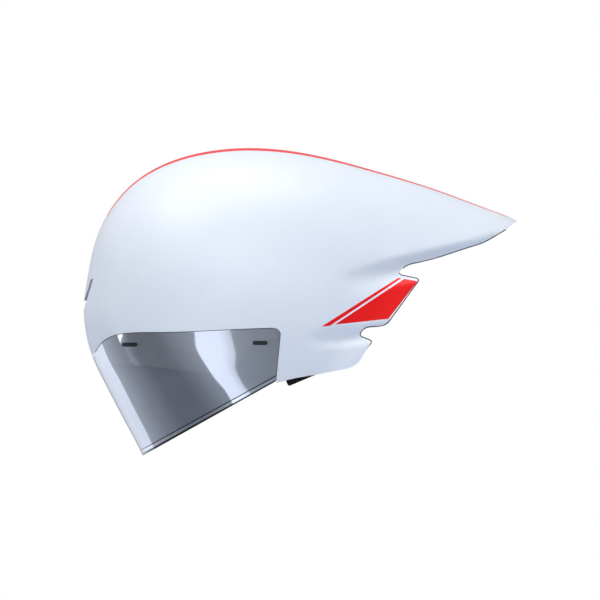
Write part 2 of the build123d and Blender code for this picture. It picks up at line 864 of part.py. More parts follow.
def make_pinion():
    root = pitch_radius - tooth_dedendum
    tip = pitch_radius + tooth_addendum
    shape = rod((rack_x0, 0, 0), (1, 0, 0), root, rack_wall)
    for i in range(tooth_count):
        tooth = Face(Wire.make_polygon([
            (rack_x0, -tooth_root_width / 2, root - tooth_dedendum / 2),
            (rack_x0, tooth_root_width / 2, root - tooth_dedendum / 2),
            (rack_x0, tooth_tip_width / 2, tip),
            (rack_x0, -tooth_tip_width / 2, tip),
        ]))
        solid = extrude(tooth, amount=rack_wall, dir=(1, 0, 0))
        shape = shape + Rot(360 / tooth_count * i, 0, 0) * solid
    shaft_end = knob_x0 + knob_height - knob_wall
    shaft = rod((rack_x1, 0, 0), (1, 0, 0), shaft_radius, shaft_end - rack_x1)
    pilot = rod((rack_x0 - pilot_length, 0, 0), (1, 0, 0), pilot_radius, pilot_length)
    return Pos(0, 0, belt_z) * (shape + shaft + pilot)


pocket_half = pitch_radius + tooth_dedendum + rack_back + running_gap
lid_x0 = rack_x1 + running_gap
lid_x1 = lid_x0 + lid_wall
knob_x0 = lid_x1 + knob_gap
screw_z = (pocket_half + housing_half_height) / 2


def screw_holes(shape, x, radius, depth):
    for y in (-screw_half_spacing, screw_half_spacing):
        for z in (-screw_z, screw_z):
            shape = shape - rod((x, y, z), (1, 0, 0), radius, depth)
    return shape


def make_housing():
    """The housing's base: a plate with a rail above and below the racks."""
    w = housing_half_width
    h = housing_half_height
    shape = block(housing_x, lid_x0, -w, w, -h, h)
    shape = shape - block(
        housing_x + base_wall, lid_x0 + overrun, -w - overrun, w + overrun, -pocket_half, pocket_half
    )
    bore_depth = pilot_length + running_gap / 2
    shape = shape - rod(
        (housing_x + base_wall - bore_depth, 0, 0), (1, 0, 0), pilot_radius + shaft_gap, bore_depth
    )
    hole_depth = screw_length - lid_wall + running_gap
    shape = screw_holes(shape, lid_x0 - hole_depth, screw_radius + shaft_gap, hole_depth)
    return Pos(0, 0, belt_z) * shape


def make_lid():
    w = housing_half_width
    h = housing_half_height
    shape = block(lid_x0, lid_x1, -w, w, -h, h)
    shape = fillet(shape.edges().filter_by(Axis.X), housing_corner)
    shape = shape - rod((lid_x0 - overrun, 0, 0), (1, 0, 0), shaft_radius + shaft_gap, 2 * overrun)
    return Pos(0, 0, belt_z) * screw_holes(shape, lid_x0, screw_radius + shaft_gap, lid_wall)


def make_screws():
    group = []
    for y in (-screw_half_spacing, screw_half_spacing):
        for z in (-screw_z, screw_z):
            shank = rod((lid_x1 - screw_length, y, z), (1, 0, 0), screw_radius, screw_length)
            head = rod((lid_x1, y, z), (1, 0, 0), screw_head_radius, screw_head_height)
            group.append(Pos(0, 0, belt_z) * (shank + head))
    return group


def make_knob():
    """The dial: a cup with finger scallops, its hollow towards the housing."""
    shape = rod((knob_x0, 0, 0), (1, 0, 0), knob_radius, knob_height)
    shape = shape - rod((knob_x0, 0, 0), (1, 0, 0), knob_radius - knob_wall, knob_hollow)
    bore_depth = knob_height - knob_wall + shaft_gap
    shape = shape - rod((knob_x0, 0, 0), (1, 0, 0), shaft_radius + shaft_gap, bore_depth)
    for i in range(knob_scallops):
        turn = 2 * math.pi * i / knob_scallops
        y = (knob_radius + scallop_radius / 2) * math.cos(turn)
        z = (knob_radius + scallop_radius / 2) * math.sin(turn)
        shape = shape - rod((knob_x0, y, z), (1, 0, 0), scallop_radius, knob_height)
    return Pos(0, 0, belt_z) * shape


def make_detent_spring():
    """A curved leaf on the lid, whose nub clicks round inside the dial."""
    start = math.radians(90 - spring_sweep / 2)
    middle = math.radians(90)
    end = math.radians(90 + spring_sweep / 2)
    x = lid_x1 + magnet_fit

    def at(radius, turn):
        return Vector(x, radius * math.cos(turn), radius * math.sin(turn))

    out = spring_radius + spring_wall / 2
    inn = spring_radius - spring_wall / 2
    outer = Edge.make_three_point_arc(at(out, start), at(out, middle), at(out, end))
    inner = Edge.make_three_point_arc(at(inn, end), at(inn, middle), at(inn, start))
    face = Face(Wire([
        outer, Edge.make_line(at(out, end), at(inn, end)),
        inner, Edge.make_line(at(inn, start), at(out, start)),
    ]))
    leaf = extrude(face, amount=spring_height, dir=(1, 0, 0))
    nub = rod((x, 0, spring_radius + spring_wall / 2), (1, 0, 0), spring_nub, spring_height)
    return Pos(0, 0, belt_z) * (leaf + nub)


def make_nape_pad():
    """The crowned pad on the front of the housing, against the back of the head."""
    wires = []
    x = housing_x - soft_gap
    for share_y, share in zip((-1, -0.8, -0.4, 0, 0.4, 0.8, 1), pad_ends):
        y = share_y * nape_pad_half_width
        half = nape_pad_height / 2 * (0.7 + 0.3 * share)
        edge = pad_edge * share
        deep = nape_pad_thickness * (0.4 + 0.6 * share)
        wires.append(Wire([
            Edge.make_line((x, y, -half), (x, y, half)),
            Edge.make_line((x, y, half), (x - edge, y, half)),
            Edge.make_three_point_arc((x - edge, y, half), (x - deep, y, 0), (x - edge, y, -half)),
            Edge.make_line((x - edge, y, -half), (x, y, -half)),
        ]))
    return Pos(0, 0, belt_z) * Solid.make_loft(wires)


button_z = button_z_share * helmet_height
divider_x = head_x + divider_x_offset
divider_half_spacing = divider_spacing_share * helmet_half_width
divider_z = divider_z_share * helmet_height


def button_place(offset):
    """Where a strap button sits on the wall, and the direction into the foam."""
    y = cavity_half_width * math.sqrt(1 - (offset / cavity_half_length) ** 2)
    point = Vector(head_x + offset, y, button_z)
    return point, head_normal(point)


def make_buttons():
    group = []
    for offset in (front_button_offset, rear_button_offset):
        point, normal = button_place(offset)
        disc_start = point - normal * (soft_gap + button_wall)
        disc = rod(disc_start, normal, button_radius, button_wall)
        stem = rod(disc_start + normal * button_wall, normal, button_stem_radius, button_stem_length)
        button = disc + stem
        group += [button, mirror(button, about=Plane.XZ)]
    return group


def strap_section(middle, along, facing):
    """A flat strap's cross-section, its face towards a direction."""
    across = facing.cross(along).normalized() * (strap_width / 2)
    deep = facing * (strap_wall / 2)
    return Wire.make_polygon([
        middle + across + deep, middle - across + deep, middle - across - deep, middle + across - deep,
    ])


def make_side_strap(offset, side):
    """A strap from its button down to the divider, twisting as it goes."""
    point, normal = button_place(offset)
    toward = 1 if offset > divider_x_offset else -1
    end = Vector(
        divider_x + toward * (strap_width / 2 + strap_wall),
        divider_half_spacing - toward * (divider_wall / 2 + running_gap + strap_wall / 2),
        divider_z + strap_wall,
    )
    start = point - normal * (soft_gap + button_wall + running_gap + strap_wall / 2)
    along = end - start
    strap = Solid.make_loft([
        strap_section(start, along, normal), strap_section(end, along, Vector(0, 1, 0)),
    ], ruled=True)
    return mirrored(strap, side)


def make_divider(side):
    x = divider_x
    y = divider_half_spacing
    shape = block(
        x - divider_length / 2, x + divider_length / 2, y - divider_wall / 2, y + divider_wall / 2,
        divider_z - divider_height / 2, divider_z + divider_height / 2,
    )
    shape = fillet(shape.edges().filter_by(Axis.Y), divider_wall)
    slot_low = divider_z - divider_height / 2 + divider_wall
    slot_half = strap_width / 2 + running_gap
    slot = block(
        x - slot_half, x + slot_half, y - divider_wall, y + divider_wall,
        slot_low, slot_low + 2 * strap_wall,
    )
    return mirrored(shape - slot, side)


buckle_end = buckle_start + buckle_length
plug_end = buckle_end + running_gap + buckle_plug_length


def chin_band(y_in, side):
    """A chin strap, from the divider's foot in to the buckle."""
    y_out = divider_half_spacing
    z_out = divider_z - divider_height / 2 - running_gap - strap_wall
    z_in = chin_strap_low
    rise = z_out - z_in
    centre = [
        Vector(0, y_out, z_out), Vector(0, y_out - divider_height, z_in + rise / 2),
        Vector(0, y_out - 2 * divider_height, z_in + rise / 6), Vector(0, y_in, z_in),
    ]
    path = Edge.make_spline([point for point in centre if point.Y > y_in] + [centre[-1]])
    half = strap_wall / 2
    low = [path.position_at(t) - Vector(0, 0, half) for t in np.linspace(0, 1, 9)]
    high = [path.position_at(t) + Vector(0, 0, half) for t in np.linspace(1, 0, 9)]
    face = Face(Wire([
        Edge.make_spline(low), Edge.make_line(low[-1], high[0]),
        Edge.make_spline(high), Edge.make_line(high[-1], low[0]),
    ]))
    band = extrude(Pos(divider_x - strap_width / 2, 0, 0) * face, amount=strap_width, dir=(1, 0, 0))
    return mirrored(band, side)


def make_buckle_socket():
    x = divider_x
    z = chin_strap_low
    w = buckle_width / 2
    h = buckle_height / 2
    shape = block(x - w, x + w, buckle_start, buckle_end, z - h, z + h)
    shape = fillet(shape.edges().filter_by(Axis.Y), buckle_wall)
    deep = prong_length + 2 * running_gap
    shape = shape - block(
        x - w + buckle_wall, x + w - buckle_wall, buckle_end - deep, buckle_end,
        z - h + buckle_wall, z + h - buckle_wall,
    )
    window = prong_length / 2
    for s in (-1, 1):
        edge = x + s * w
        shape = shape - block(
            edge - buckle_wall, edge + buckle_wall,
            buckle_end - deep + buckle_wall, buckle_end - deep + window,
            z - h + buckle_wall, z + h - buckle_wall,
        )
    return shape


def make_buckle_plug():
    x = divider_x
    z = chin_strap_low
    w = buckle_width / 2
    h = buckle_height / 2
    start = buckle_end + running_gap
    shape = block(x - w, x + w, start, plug_end, z - h, z + h)
    shape = fillet(shape.edges().filter_by(Axis.Y), buckle_wall)
    prong_out = w - buckle_wall - running_gap
    for s in (-1, 1):
        centre = x + s * (prong_out - prong_width / 2)
        shape = shape + block(
            centre - prong_width / 2, centre + prong_width / 2, start - prong_length, start,
            z - prong_height / 2, z + prong_height / 2,
        )
    guide = block(
        x - prong_width / 2, x + prong_width / 2, start - prong_length / 2, start,
        z - prong_height / 2, z + prong_height / 2,
    )
    return shape + guide


sides = {"left": -1, "right": 1}


def all_parts():
    """Every node's shape, by its name."""
    parts = {
        "outer_shell": make_shell(),
        "visor_lens": make_visor(),
        "visor_magnets": make_visor_magnets(),
        "visor_seat_frame": make_seat_frame(),
        "seat_magnets": make_seat_magnets(),
        "intake_insert": make_intake_insert(),
        "tail_underside_cover": make_tail_cover(),
        "foam_liner": make_liner() - anchor_holes(),
        "brow_pad": wall_pad(
            level_directions(brow_angle - brow_pad_reach, brow_angle + brow_pad_reach, brow_pad_rise),
            brow_pad_width, brow_pad_thickness,
        ),
        "dial_housing": make_housing(),
        "housing_lid": make_lid(),
        "housing_screws": make_screws(),
        "pinion": make_pinion(),
        "dial_knob": make_knob(),
        "detent_spring": make_detent_spring(),
        "nape_pad": make_nape_pad(),
        "strap_buttons": make_buttons(),
        "chin_strap_left": chin_band(-buckle_start + running_gap, -1),
        "chin_strap_right": chin_band(plug_end + running_gap, 1),
        "buckle_socket": make_buckle_socket(),
        "buckle_plug": make_buckle_plug(),
    }
    for name, side in sides.items():
        parts["crown_pad_" + name] = wall_pad(
            crown_directions(side * crown_pad_lean, crown_pad_first, crown_pad_last),
            crown_pad_width, crown_pad_thickness,
        )
        parts["side_pad_" + name] = wall_pad(
            level_directions(side * side_pad_first, side * side_pad_last, side_pad_rise),
            side_pad_width, side_pad_thickness,
        )
        parts["ear_pad_" + name] = wall_pad(
            level_directions(side * ear_pad_first, side * ear_pad_last, -ear_pad_drop),
            ear_pad_width, ear_pad_thickness,
        )
        parts["temple_anchor_" + name] = make_temple_anchor(side)
        parts["temple_arm_" + name] = make_temple_arm(side)
        parts["belt_arm_" + name] = make_belt_arm(side)
        parts["rack_" + name] = make_rack(side)
        parts["strap_divider_" + name] = make_divider(side)
        parts["front_strap_" + name] = make_side_strap(front_button_offset, side)
        parts["rear_strap_" + name] = make_side_strap(rear_button_offset, side)
    return parts


def solids_of(shape):
    """The solids of a shape, or of a list of shapes."""
    pieces = shape if isinstance(shape, list) else [shape]
    return [solid for piece in pieces for solid in piece.solids()]


for node, shape in all_parts().items():
    export_step(Compound(solids_of(shape)), "parts/" + node + ".step")
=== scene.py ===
import math

import bmesh
import bpy
import numpy as np
from mathutils import Matrix, Vector


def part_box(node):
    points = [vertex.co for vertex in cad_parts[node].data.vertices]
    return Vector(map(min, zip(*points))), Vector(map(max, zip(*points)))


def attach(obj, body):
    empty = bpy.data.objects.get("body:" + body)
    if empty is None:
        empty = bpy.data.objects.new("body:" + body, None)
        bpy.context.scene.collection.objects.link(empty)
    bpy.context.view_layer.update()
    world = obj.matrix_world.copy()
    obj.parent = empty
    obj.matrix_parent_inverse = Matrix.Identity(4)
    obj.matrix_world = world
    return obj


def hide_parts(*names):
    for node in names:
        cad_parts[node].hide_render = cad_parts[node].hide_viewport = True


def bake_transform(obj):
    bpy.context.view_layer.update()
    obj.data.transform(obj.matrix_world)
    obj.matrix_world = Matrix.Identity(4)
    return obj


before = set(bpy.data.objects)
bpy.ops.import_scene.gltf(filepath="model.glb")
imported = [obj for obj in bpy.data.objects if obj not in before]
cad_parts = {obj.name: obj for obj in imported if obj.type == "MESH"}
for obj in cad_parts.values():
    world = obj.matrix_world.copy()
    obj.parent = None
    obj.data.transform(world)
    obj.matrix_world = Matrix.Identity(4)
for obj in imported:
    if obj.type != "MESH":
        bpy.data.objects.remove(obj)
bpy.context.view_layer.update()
bpy.context.scene.view_settings.view_transform = "Standard"


# Camera
# A long lens square to the helmet's left side, rolled so that the nose points
# down towards the ground as the photograph holds it.
image_span = 0.48
nose_dip = math.radians(23.0)
view_middle = Vector((-0.0069, -1.6, 0.0655))
camera_data = bpy.data.cameras.new("camera")
camera_data.type = "ORTHO"
camera_data.ortho_scale = image_span
camera = bpy.data.objects.new("camera", camera_data)
camera_right = Vector((math.cos(nose_dip), 0, -math.sin(nose_dip)))
camera_up = Vector((math.sin(nose_dip), 0, math.cos(nose_dip)))
turned = Matrix((camera_right, camera_up, Vector((0, -1, 0)))).transposed().to_4x4()
camera.matrix_world = Matrix.Translation(view_middle) @ turned
bpy.context.scene.collection.objects.link(camera)
bpy.context.scene.camera = camera


# Studio
# A wide pale floor under a white surround, a big softbox overhead, two smaller
# ones, and tall back-lit cards that only the visor and other glossy pieces mirror.
def place_node(tree, kind, sockets=(), **settings):
    """Adds a node; a socket takes a plain value or another node's output."""
    node = tree.nodes.new(kind)
    for key, value in settings.items():
        setattr(node, key, value)
    for key, value in dict(sockets).items():
        if isinstance(value, bpy.types.NodeSocket):
            tree.links.new(value, node.inputs[key])
        else:
            node.inputs[key].default_value = value
    return node


def put(tree, kind, sockets=(), **settings):
    """Adds a shader node by its short name."""
    return place_node(tree, "ShaderNode" + kind, sockets, **settings)


def worked(tree, operation, *values):
    """A Math node on one to three values."""
    return put(tree, "Math", enumerate(values), operation=operation)


def ranged(tree, value, source, target=(0.0, 1.0)):
    """A value carried over from one range to another."""
    return put(tree, "MapRange", {
        "Value": value, "From Min": source[0], "From Max": source[1],
        "To Min": target[0], "To Max": target[1],
    })


def either_colour(tree, share, first, second):
    """The first colour where the share is 0, the second where it is 1."""
    return put(tree, "Mix", {0: share, 6: first, 7: second}, data_type="RGBA")


def shaded_by(tree, colour, shade):
    """A colour multiplied by a shade."""
    return put(tree, "Mix", {0: 1.0, 6: colour, 7: shade}, data_type="RGBA", blend_type="MULTIPLY")


def ramped(tree, value, stops):
    """A colour ramp through (place, colour) stops, in order."""
    node = put(tree, "ValToRGB", {0: value})
    elements = node.color_ramp.elements
    while len(elements) < len(stops):
        elements.new(0.5)
    for element, (place, colour) in zip(elements, stops):
        element.position = place
        element.color = colour
    return node


def finish(name, **sockets):
    """A new material with one shader, its plain values set by socket name."""
    material = bpy.data.materials.new(name)
    material.use_nodes = True
    tree = material.node_tree
    tree.nodes.clear()
    shader = put(tree, "BsdfPrincipled")
    for key, value in sockets.items():
        shader.inputs[key.replace("_", " ")].default_value = value
    put(tree, "OutputMaterial", {"Surface": shader.outputs[0]})
    return material, tree, shader


def bumped(tree, shader, height, strength, distance=0.0002):
    """Lifts a shader's surface by a height map."""
    bump = put(tree, "Bump", {"Height": height, "Strength": strength, "Distance": distance})
    tree.links.new(bump.outputs[0], shader.inputs["Normal"])


def coat_with(piece, material):
    """Gives a piece one material all over."""
    piece.data.materials.clear()
    piece.data.materials.append(material)
    for face in piece.data.polygons:
        face.material_index = 0


floor_half = 12.0
floor_corners = [(x * floor_half, y * floor_half, 0) for x, y in ((-1, -1), (1, -1), (1, 1), (-1, 1))]
floor_mesh = bpy.data.meshes.new("studio_floor")
floor_mesh.from_pydata(floor_corners, [], [(0, 1, 2, 3)])
studio_floor = bpy.data.objects.new("studio_floor", floor_mesh)
bpy.context.scene.collection.objects.link(studio_floor)
floor_finish, floor_tree, floor_shader = finish("pale_floor", Roughness=0.75)
floor_rays = put(floor_tree, "LightPath")
floor_colour = either_colour(
    floor_tree, floor_rays.outputs["Is Camera Ray"], (0.54, 0.61, 0.74, 1), (0.86, 0.87, 0.89, 1),
)
floor_tree.links.new(floor_colour.outputs[2], floor_shader.inputs["Base Color"])
coat_with(studio_floor, floor_finish)
studio_floor.visible_glossy = False

surround = bpy.data.worlds.new("white_surround")
bpy.context.scene.world = surround
surround.use_nodes = True
sky = surround.node_tree
sky.nodes.clear()
rays = put(sky, "LightPath")
mirrored = worked(sky, "MULTIPLY", rays.outputs["Is Glossy Ray"], 0.3)
seen = worked(sky, "MAXIMUM", rays.outputs["Is Camera Ray"], mirrored.outputs[0])
seen = worked(sky, "MAXIMUM", seen.outputs[0], rays.outputs["Is Transmission Ray"])
soft = put(sky, "Background", {"Color": (0.80, 0.89, 1.0, 1), "Strength": 0.35})
bright = put(sky, "Background", {"Color": (1, 1, 1, 1), "Strength": 1.0})
both = put(sky, "MixShader", {0: seen.outputs[0], 1: soft.outputs[0], 2: bright.outputs[0]})
put(sky, "OutputWorld", {"Surface": both.outputs[0]})


def softbox(name, place, target, width, height, power, spin=0.0):
    """A rectangular area lamp aimed at a point."""
    lamp = bpy.data.lights.new(name, "AREA")
    lamp.shape = "RECTANGLE"
    lamp.size = width
    lamp.size_y = height
    lamp.energy = power
    box = bpy.data.objects.new(name, lamp)
    aim = (Vector(target) - Vector(place)).to_track_quat("-Z", "Y").to_matrix().to_4x4()
    box.matrix_world = Matrix.Translation(place) @ aim @ Matrix.Rotation(spin, 4, "Z")
    bpy.context.scene.collection.objects.link(box)
    return box


helmet_heart = (0, 0, 0.1)
softbox("overhead_softbox", place=(0.25, -0.38, 1.65), target=helmet_heart, width=1.7, height=1.1, power=21.0)
softbox("side_softbox", place=(0.3, -1.6, 1.0), target=helmet_heart, width=0.7, height=0.7, power=6.0)
softbox(
    "nose_softbox", place=(-1.7, -0.05, 0.75), target=(-0.1, 0, 0.06), width=0.22, height=1.5, power=1.8,
    spin=math.radians(8.0),
)

card_distance, card_height = 2.6, 4.0
card_tint = (1.0, 1.05, 1.18)
upper_start, upper_blur, upper_tone = 0.62, 0.003, 0.62


def graded_card(name, first, last, stops):
    """A tall back-lit card for glossy rays alone, between two bearings off the helmet's left side.

    Its stops are (share of its width, tone) pairs; above a level line it is darker.
    """
    ends = []
    for bearing in (math.radians(first), math.radians(last)):
        ends.append((-card_distance * math.sin(bearing), -card_distance * math.cos(bearing)))
    low, high = -card_height, card_height
    corners = [(*ends[0], low), (*ends[1], low), (*ends[1], high), (*ends[0], high)]
    mesh = bpy.data.meshes.new(name)
    mesh.from_pydata(corners, [], [(0, 1, 2, 3)])
    layer = mesh.uv_layers.new(name="grade")
    for loop, place in zip(layer.data, ((0, 0), (1, 0), (1, 1), (0, 1))):
        loop.uv = place
    card = bpy.data.objects.new(name, mesh)
    bpy.context.scene.collection.objects.link(card)
    card.visible_camera = card.visible_diffuse = card.visible_shadow = card.visible_transmission = False
    cloth, tree, shader = finish(
        name + "_cloth", Base_Color=(0, 0, 0, 1), Specular_IOR_Level=0.0,
        Roughness=1.0, Emission_Strength=1.0,
    )
    place = put(tree, "SeparateXYZ", {0: put(tree, "UVMap", uv_map="grade").outputs[0]})
    tinted_stops = [(share, (*(tone * tint for tint in card_tint), 1)) for share, tone in stops]
    grade = ramped(tree, place.outputs[0], tinted_stops)
    upper = ranged(tree, place.outputs[1], (upper_start, upper_start + upper_blur), (1.0, upper_tone))
    shaded = shaded_by(tree, grade.outputs[0], upper.outputs[0])
    tree.links.new(shaded.outputs[2], shader.inputs["Emission Color"])
    coat_with(card, cloth)


graded_card("rear_card", -22.0, 8.0, [(0.0, 0.12), (0.55, 0.30), (1.0, 0.42)])
graded_card("bright_card", 8.0, 25.0, [(0.0, 0.95), (0.3, 1.35), (1.0, 1.45)])
graded_card("nose_card", 120.0, 160.0, [(0.0, 1.25), (0.5, 1.1), (1.0, 0.7)])
graded_card("long_card", 25.0, 120.0, [(0.0, 0.42), (0.33, 0.17), (0.5, 0.18), (0.75, 0.42), (1.0, 0.60)])


# Painted shell
# A thin moulded polycarbonate shell with a long tail, side fins and ear covers,
# sprayed white under a satin clear coat, with air channels pressed into each side.
helmet_length = 0.355
helmet_height = 0.208
helmet_half_width = 0.100
fan_pivot = (-0.107 * helmet_length, -0.038 * helmet_height)
hub_radius = 0.010
tail_reach = 0.642 * helmet_length
shell_wall = 0.002
ridge_shares = [
    (-0.483, 0.005), (-0.491, 0.173), (-0.498, 0.327), (-0.500, 0.423), (-0.492, 0.523),
    (-0.475, 0.611), (-0.441, 0.712), (-0.390, 0.834), (-0.334, 0.919), (-0.260, 0.980),
    (-0.180, 1.000), (-0.084, 0.981), (0.019, 0.922), (0.126, 0.820), (0.248, 0.662),
    (0.377, 0.474), (0.461, 0.338), (0.500, 0.268),
]
side_fullness = [
    (0, 1.25), (16, 1.25), (30, 1.35), (60, 2.1), (90, 2.7), (120, 2.8), (145, 2.6), (176, 2.2), (186, 2.2),
]
upper_channel = {"crease": [(0.053, 0.359), (0.384, 0.265)], "depth": 0.008, "fall": 0.016, "run_in": 0.070}
lower_channel = {"crease": [(-0.059, 0.202), (0.093, 0.125)], "depth": 0.0045, "fall": 0.009, "run_in": 0.040}
channel_lip, channel_rise = 0.003, 0.011
waist_share, waist_reach = 0.05, 0.045


def side_place(share):
    """A point of the side view from shares of the helmet's length and height."""
    return (share[0] * helmet_length, share[1] * helmet_height)


def flowing(xs, ys):
    """A smooth curve through given points, as a function."""
    xs, ys = np.array(xs, float), np.array(ys, float)
    steps = np.diff(xs)
    matrix, right = np.eye(len(xs)), np.zeros(len(xs))
    for i in range(1, len(xs) - 1):
        matrix[i, i - 1:i + 2] = steps[i - 1], 2 * (steps[i - 1] + steps[i]), steps[i]
        right[i] = 6 * ((ys[i + 1] - ys[i]) / steps[i] - (ys[i] - ys[i - 1]) / steps[i - 1])
    bend = np.linalg.solve(matrix, right)

    def value(x):
        x = np.asarray(x, float)
        k = np.clip(np.searchsorted(xs, x) - 1, 0, len(xs) - 2)
        low, high, step = x - xs[k], xs[k + 1] - x, steps[k]
        curved = (bend[k] * high**3 + bend[k + 1] * low**3) / (6 * step)
        from_low, from_high = ys[k] / step - bend[k] * step / 6, ys[k + 1] / step - bend[k + 1] * step / 6
        return curved + from_low * high + from_high * low

    return value


ridge = [side_place(share) for share in ridge_shares]
ridge_from_pivot = [(x - fan_pivot[0], z - fan_pivot[1]) for x, z in ridge]
ridge_polar = sorted((math.degrees(math.atan2(z, x)), math.hypot(x, z)) for x, z in ridge_from_pivot)
rib_reach = flowing(
    [0.0, 8.0] + [angle for angle, reach in ridge_polar] + [186.0],
    [tail_reach, tail_reach] + [reach for angle, reach in ridge_polar] + [ridge_polar[-1][1]],
)
rib_fullness = flowing([a for a, n in side_fullness], [n for a, n in side_fullness])


def ease(t):
    """A smooth step from 0 to 1."""
    t = np.clip(t, 0, 1)
    return t * t * (3 - 2 * t)


def pressed_channel(x, z, crease, depth, fall, run_in):
    """How deep one air channel is pressed at points of the side view."""
    (start_x, start_z), (end_x, end_z) = side_place(crease[0]), side_place(crease[1])
    below = start_z + (x - start_x) * (end_z - start_z) / (end_x - start_x) - z
    below = below + channel_lip
    pressed = depth * ease((x - start_x) / run_in) * ease(below / channel_rise)
    return pressed * (1 - ease((below - channel_rise) / fall))


def helmet_skin(inset, angles, count):
    """Points on the helmet's surface, one row for each rib, moved inwards by the inset."""
    rows = []
    for angle in angles:
        reach, fullness = float(rib_reach(angle)), float(rib_fullness(angle))
        limit = math.acos((hub_radius / reach) ** (fullness / 2))
        turns = np.linspace(-limit, limit, count)
        out = np.cos(turns) ** (2 / fullness) * reach
        x = fan_pivot[0] + out * math.cos(math.radians(angle))
        z = fan_pivot[1] + out * math.sin(math.radians(angle))
        y = helmet_half_width * np.sin(turns) * (1 - waist_share * np.exp(-((out / waist_reach) ** 2)))
        channels = pressed_channel(x, z, **upper_channel) + pressed_channel(x, z, **lower_channel)
        rows.append(np.stack([x, y - np.sign(turns) * channels, z], -1))
    grid = np.array(rows)
    normal = np.cross(np.gradient(grid, axis=1), np.gradient(grid, angles, axis=0))
    normal /= np.linalg.norm(normal, axis=-1, keepdims=True)
    if normal[len(angles) // 2, count // 2, 2] < 0:
        normal = -normal
    radial = np.stack([np.cos(np.radians(angles)), 0 * angles, np.sin(np.radians(angles))], -1)[:, None, :]
    sideways = np.array([0.0, 1.0, 0.0])
    outward = (normal * radial).sum(-1)
    length = np.hypot(outward, normal[..., 1])
    direction = (outward[..., None] * radial + normal[..., 1:2] * sideways) / length[..., None]
    return grid - direction * (inset / length)[..., None]


def moulded_wall(name, outer, inner, first, last, ribs, across):
    """The closed wall between two insets of the surface; its inside has half the points."""
    out_grid = helmet_skin(outer, np.linspace(first, last, 2 * ribs + 1), 2 * across + 1)
    in_grid = helmet_skin(inner, np.linspace(first, last, ribs + 1), across + 1)
    points = np.concatenate([out_grid.reshape(-1, 3), in_grid.reshape(-1, 3)])
    start = out_grid.shape[0] * out_grid.shape[1]

    def out_at(i, j):
        return i * (2 * across + 1) + j

    def in_at(i, j):
        return start + i * (across + 1) + j

    faces = [
        (out_at(i, j), out_at(i, j + 1), out_at(i + 1, j + 1), out_at(i + 1, j))
        for i in range(2 * ribs) for j in range(2 * across)
    ]
    faces += [
        (in_at(i, j), in_at(i + 1, j), in_at(i + 1, j + 1), in_at(i, j + 1))
        for i in range(ribs) for j in range(across)
    ]
    for i in range(ribs):
        for j, out_j in ((0, 0), (across, 2 * across)):
            edge = tuple(out_at(2 * i + k, out_j) for k in (2, 1, 0))
            faces.append((in_at(i, j), in_at(i + 1, j), *edge))
    for j in range(across):
        for i, out_i in ((0, 0), (ribs, 2 * ribs)):
            edge = tuple(out_at(out_i, 2 * j + k) for k in (2, 1, 0))
            faces.append((in_at(i, j), in_at(i, j + 1), *edge))
    return closed_piece(name, points, faces)


def closed_piece(name, points, faces):
    """A linked mesh object whose faces all point outwards."""
    mesh = bpy.data.meshes.new(name)
    mesh.from_pydata([tuple(p) for p in points], [], faces)
    work = bmesh.new()
    work.from_mesh(mesh)
    bmesh.ops.recalc_face_normals(work, faces=work.faces)
    work.to_mesh(mesh)
    work.free()
    piece = bpy.data.objects.new(name, mesh)
    bpy.context.scene.collection.objects.link(piece)
    return piece


def swept(run, steps=8):
    """A smooth line through a run of side-view points; two points stay a straight line."""
    if len(run) == 2:
        return [tuple(point) for point in run]
    travel = np.concatenate([[0], np.cumsum([math.dist(a, b) for a, b in zip(run, run[1:])])])
    spans = [np.linspace(a, b, steps, endpoint=False) for a, b in zip(travel, travel[1:])]
    along = np.concatenate(spans + [[travel[-1]]])
    x_of, z_of = flowing(travel, [p[0] for p in run]), flowing(travel, [p[1] for p in run])
    return [(float(x_of(t)), float(z_of(t))) for t in along]


def outline_of(runs):
    """The closed outline that a chain of runs makes, without repeated points."""
    line = []
    for run in runs:
        for point in swept(run):
            if not line or math.dist(point, line[-1]) > 1e-6:
                line.append(point)
    return line[:-1] if math.dist(line[0], line[-1]) < 1e-6 else line


def cutter(name, line, low, high, along_x=False):
    """A prism on a closed outline, across the helmet or along it."""
    count = len(line)
    if along_x:
        points = [(low, a, b) for a, b in line] + [(high, a, b) for a, b in line]
    else:
        points = [(a, low, b) for a, b in line] + [(a, high, b) for a, b in line]
    faces = [tuple(range(count)), tuple(range(2 * count - 1, count - 1, -1))]
    faces += [(i, (i + 1) % count, (i + 1) % count + count, i + count) for i in range(count)]
    return closed_piece(name, points, faces)


def settle(piece):
    """Turns a piece with live modifiers into a plain mesh."""
    graph = bpy.context.evaluated_depsgraph_get()
    mesh = bpy.data.meshes.new_from_object(piece.evaluated_get(graph))
    piece.modifiers.clear()
    piece.data = mesh
    return piece


def trimmed(piece, tool, operation):
    """Cuts a piece with a tool, then throws the tool away."""
    cut = piece.modifiers.new("trim", "BOOLEAN")
    cut.object = tool
    cut.operation = operation
    cut.solver = "EXACT"
    bpy.context.view_layer.update()
    settle(piece)
    bpy.data.objects.remove(tool)
    return piece


def smooth_with_edges(piece, degrees):
    """Smooth shading that keeps the real edges crisp."""
    piece.data.polygons.foreach_set("use_smooth", [True] * len(piece.data.polygons))
    piece.data.set_sharp_from_angle(angle=math.radians(degrees))
    piece.data.update()


def shifted(runs, amount):
    """Runs moved sideways; a positive amount goes to the left of their travel."""
    chain = [runs[0][0]]
    for run in runs:
        chain += [point for point in run if point != chain[-1]]
    moved = {}
    for i, (x, z) in enumerate(chain):
        before, after = chain[max(i - 1, 0)], chain[min(i + 1, len(chain) - 1)]
        length = math.dist(before, after)
        run_x, run_z = (after[0] - before[0]) / length, (after[1] - before[1]) / length
        moved[(x, z)] = (x - run_z * amount, z + run_x * amount)
    return [[moved[point] for point in run] for run in runs]


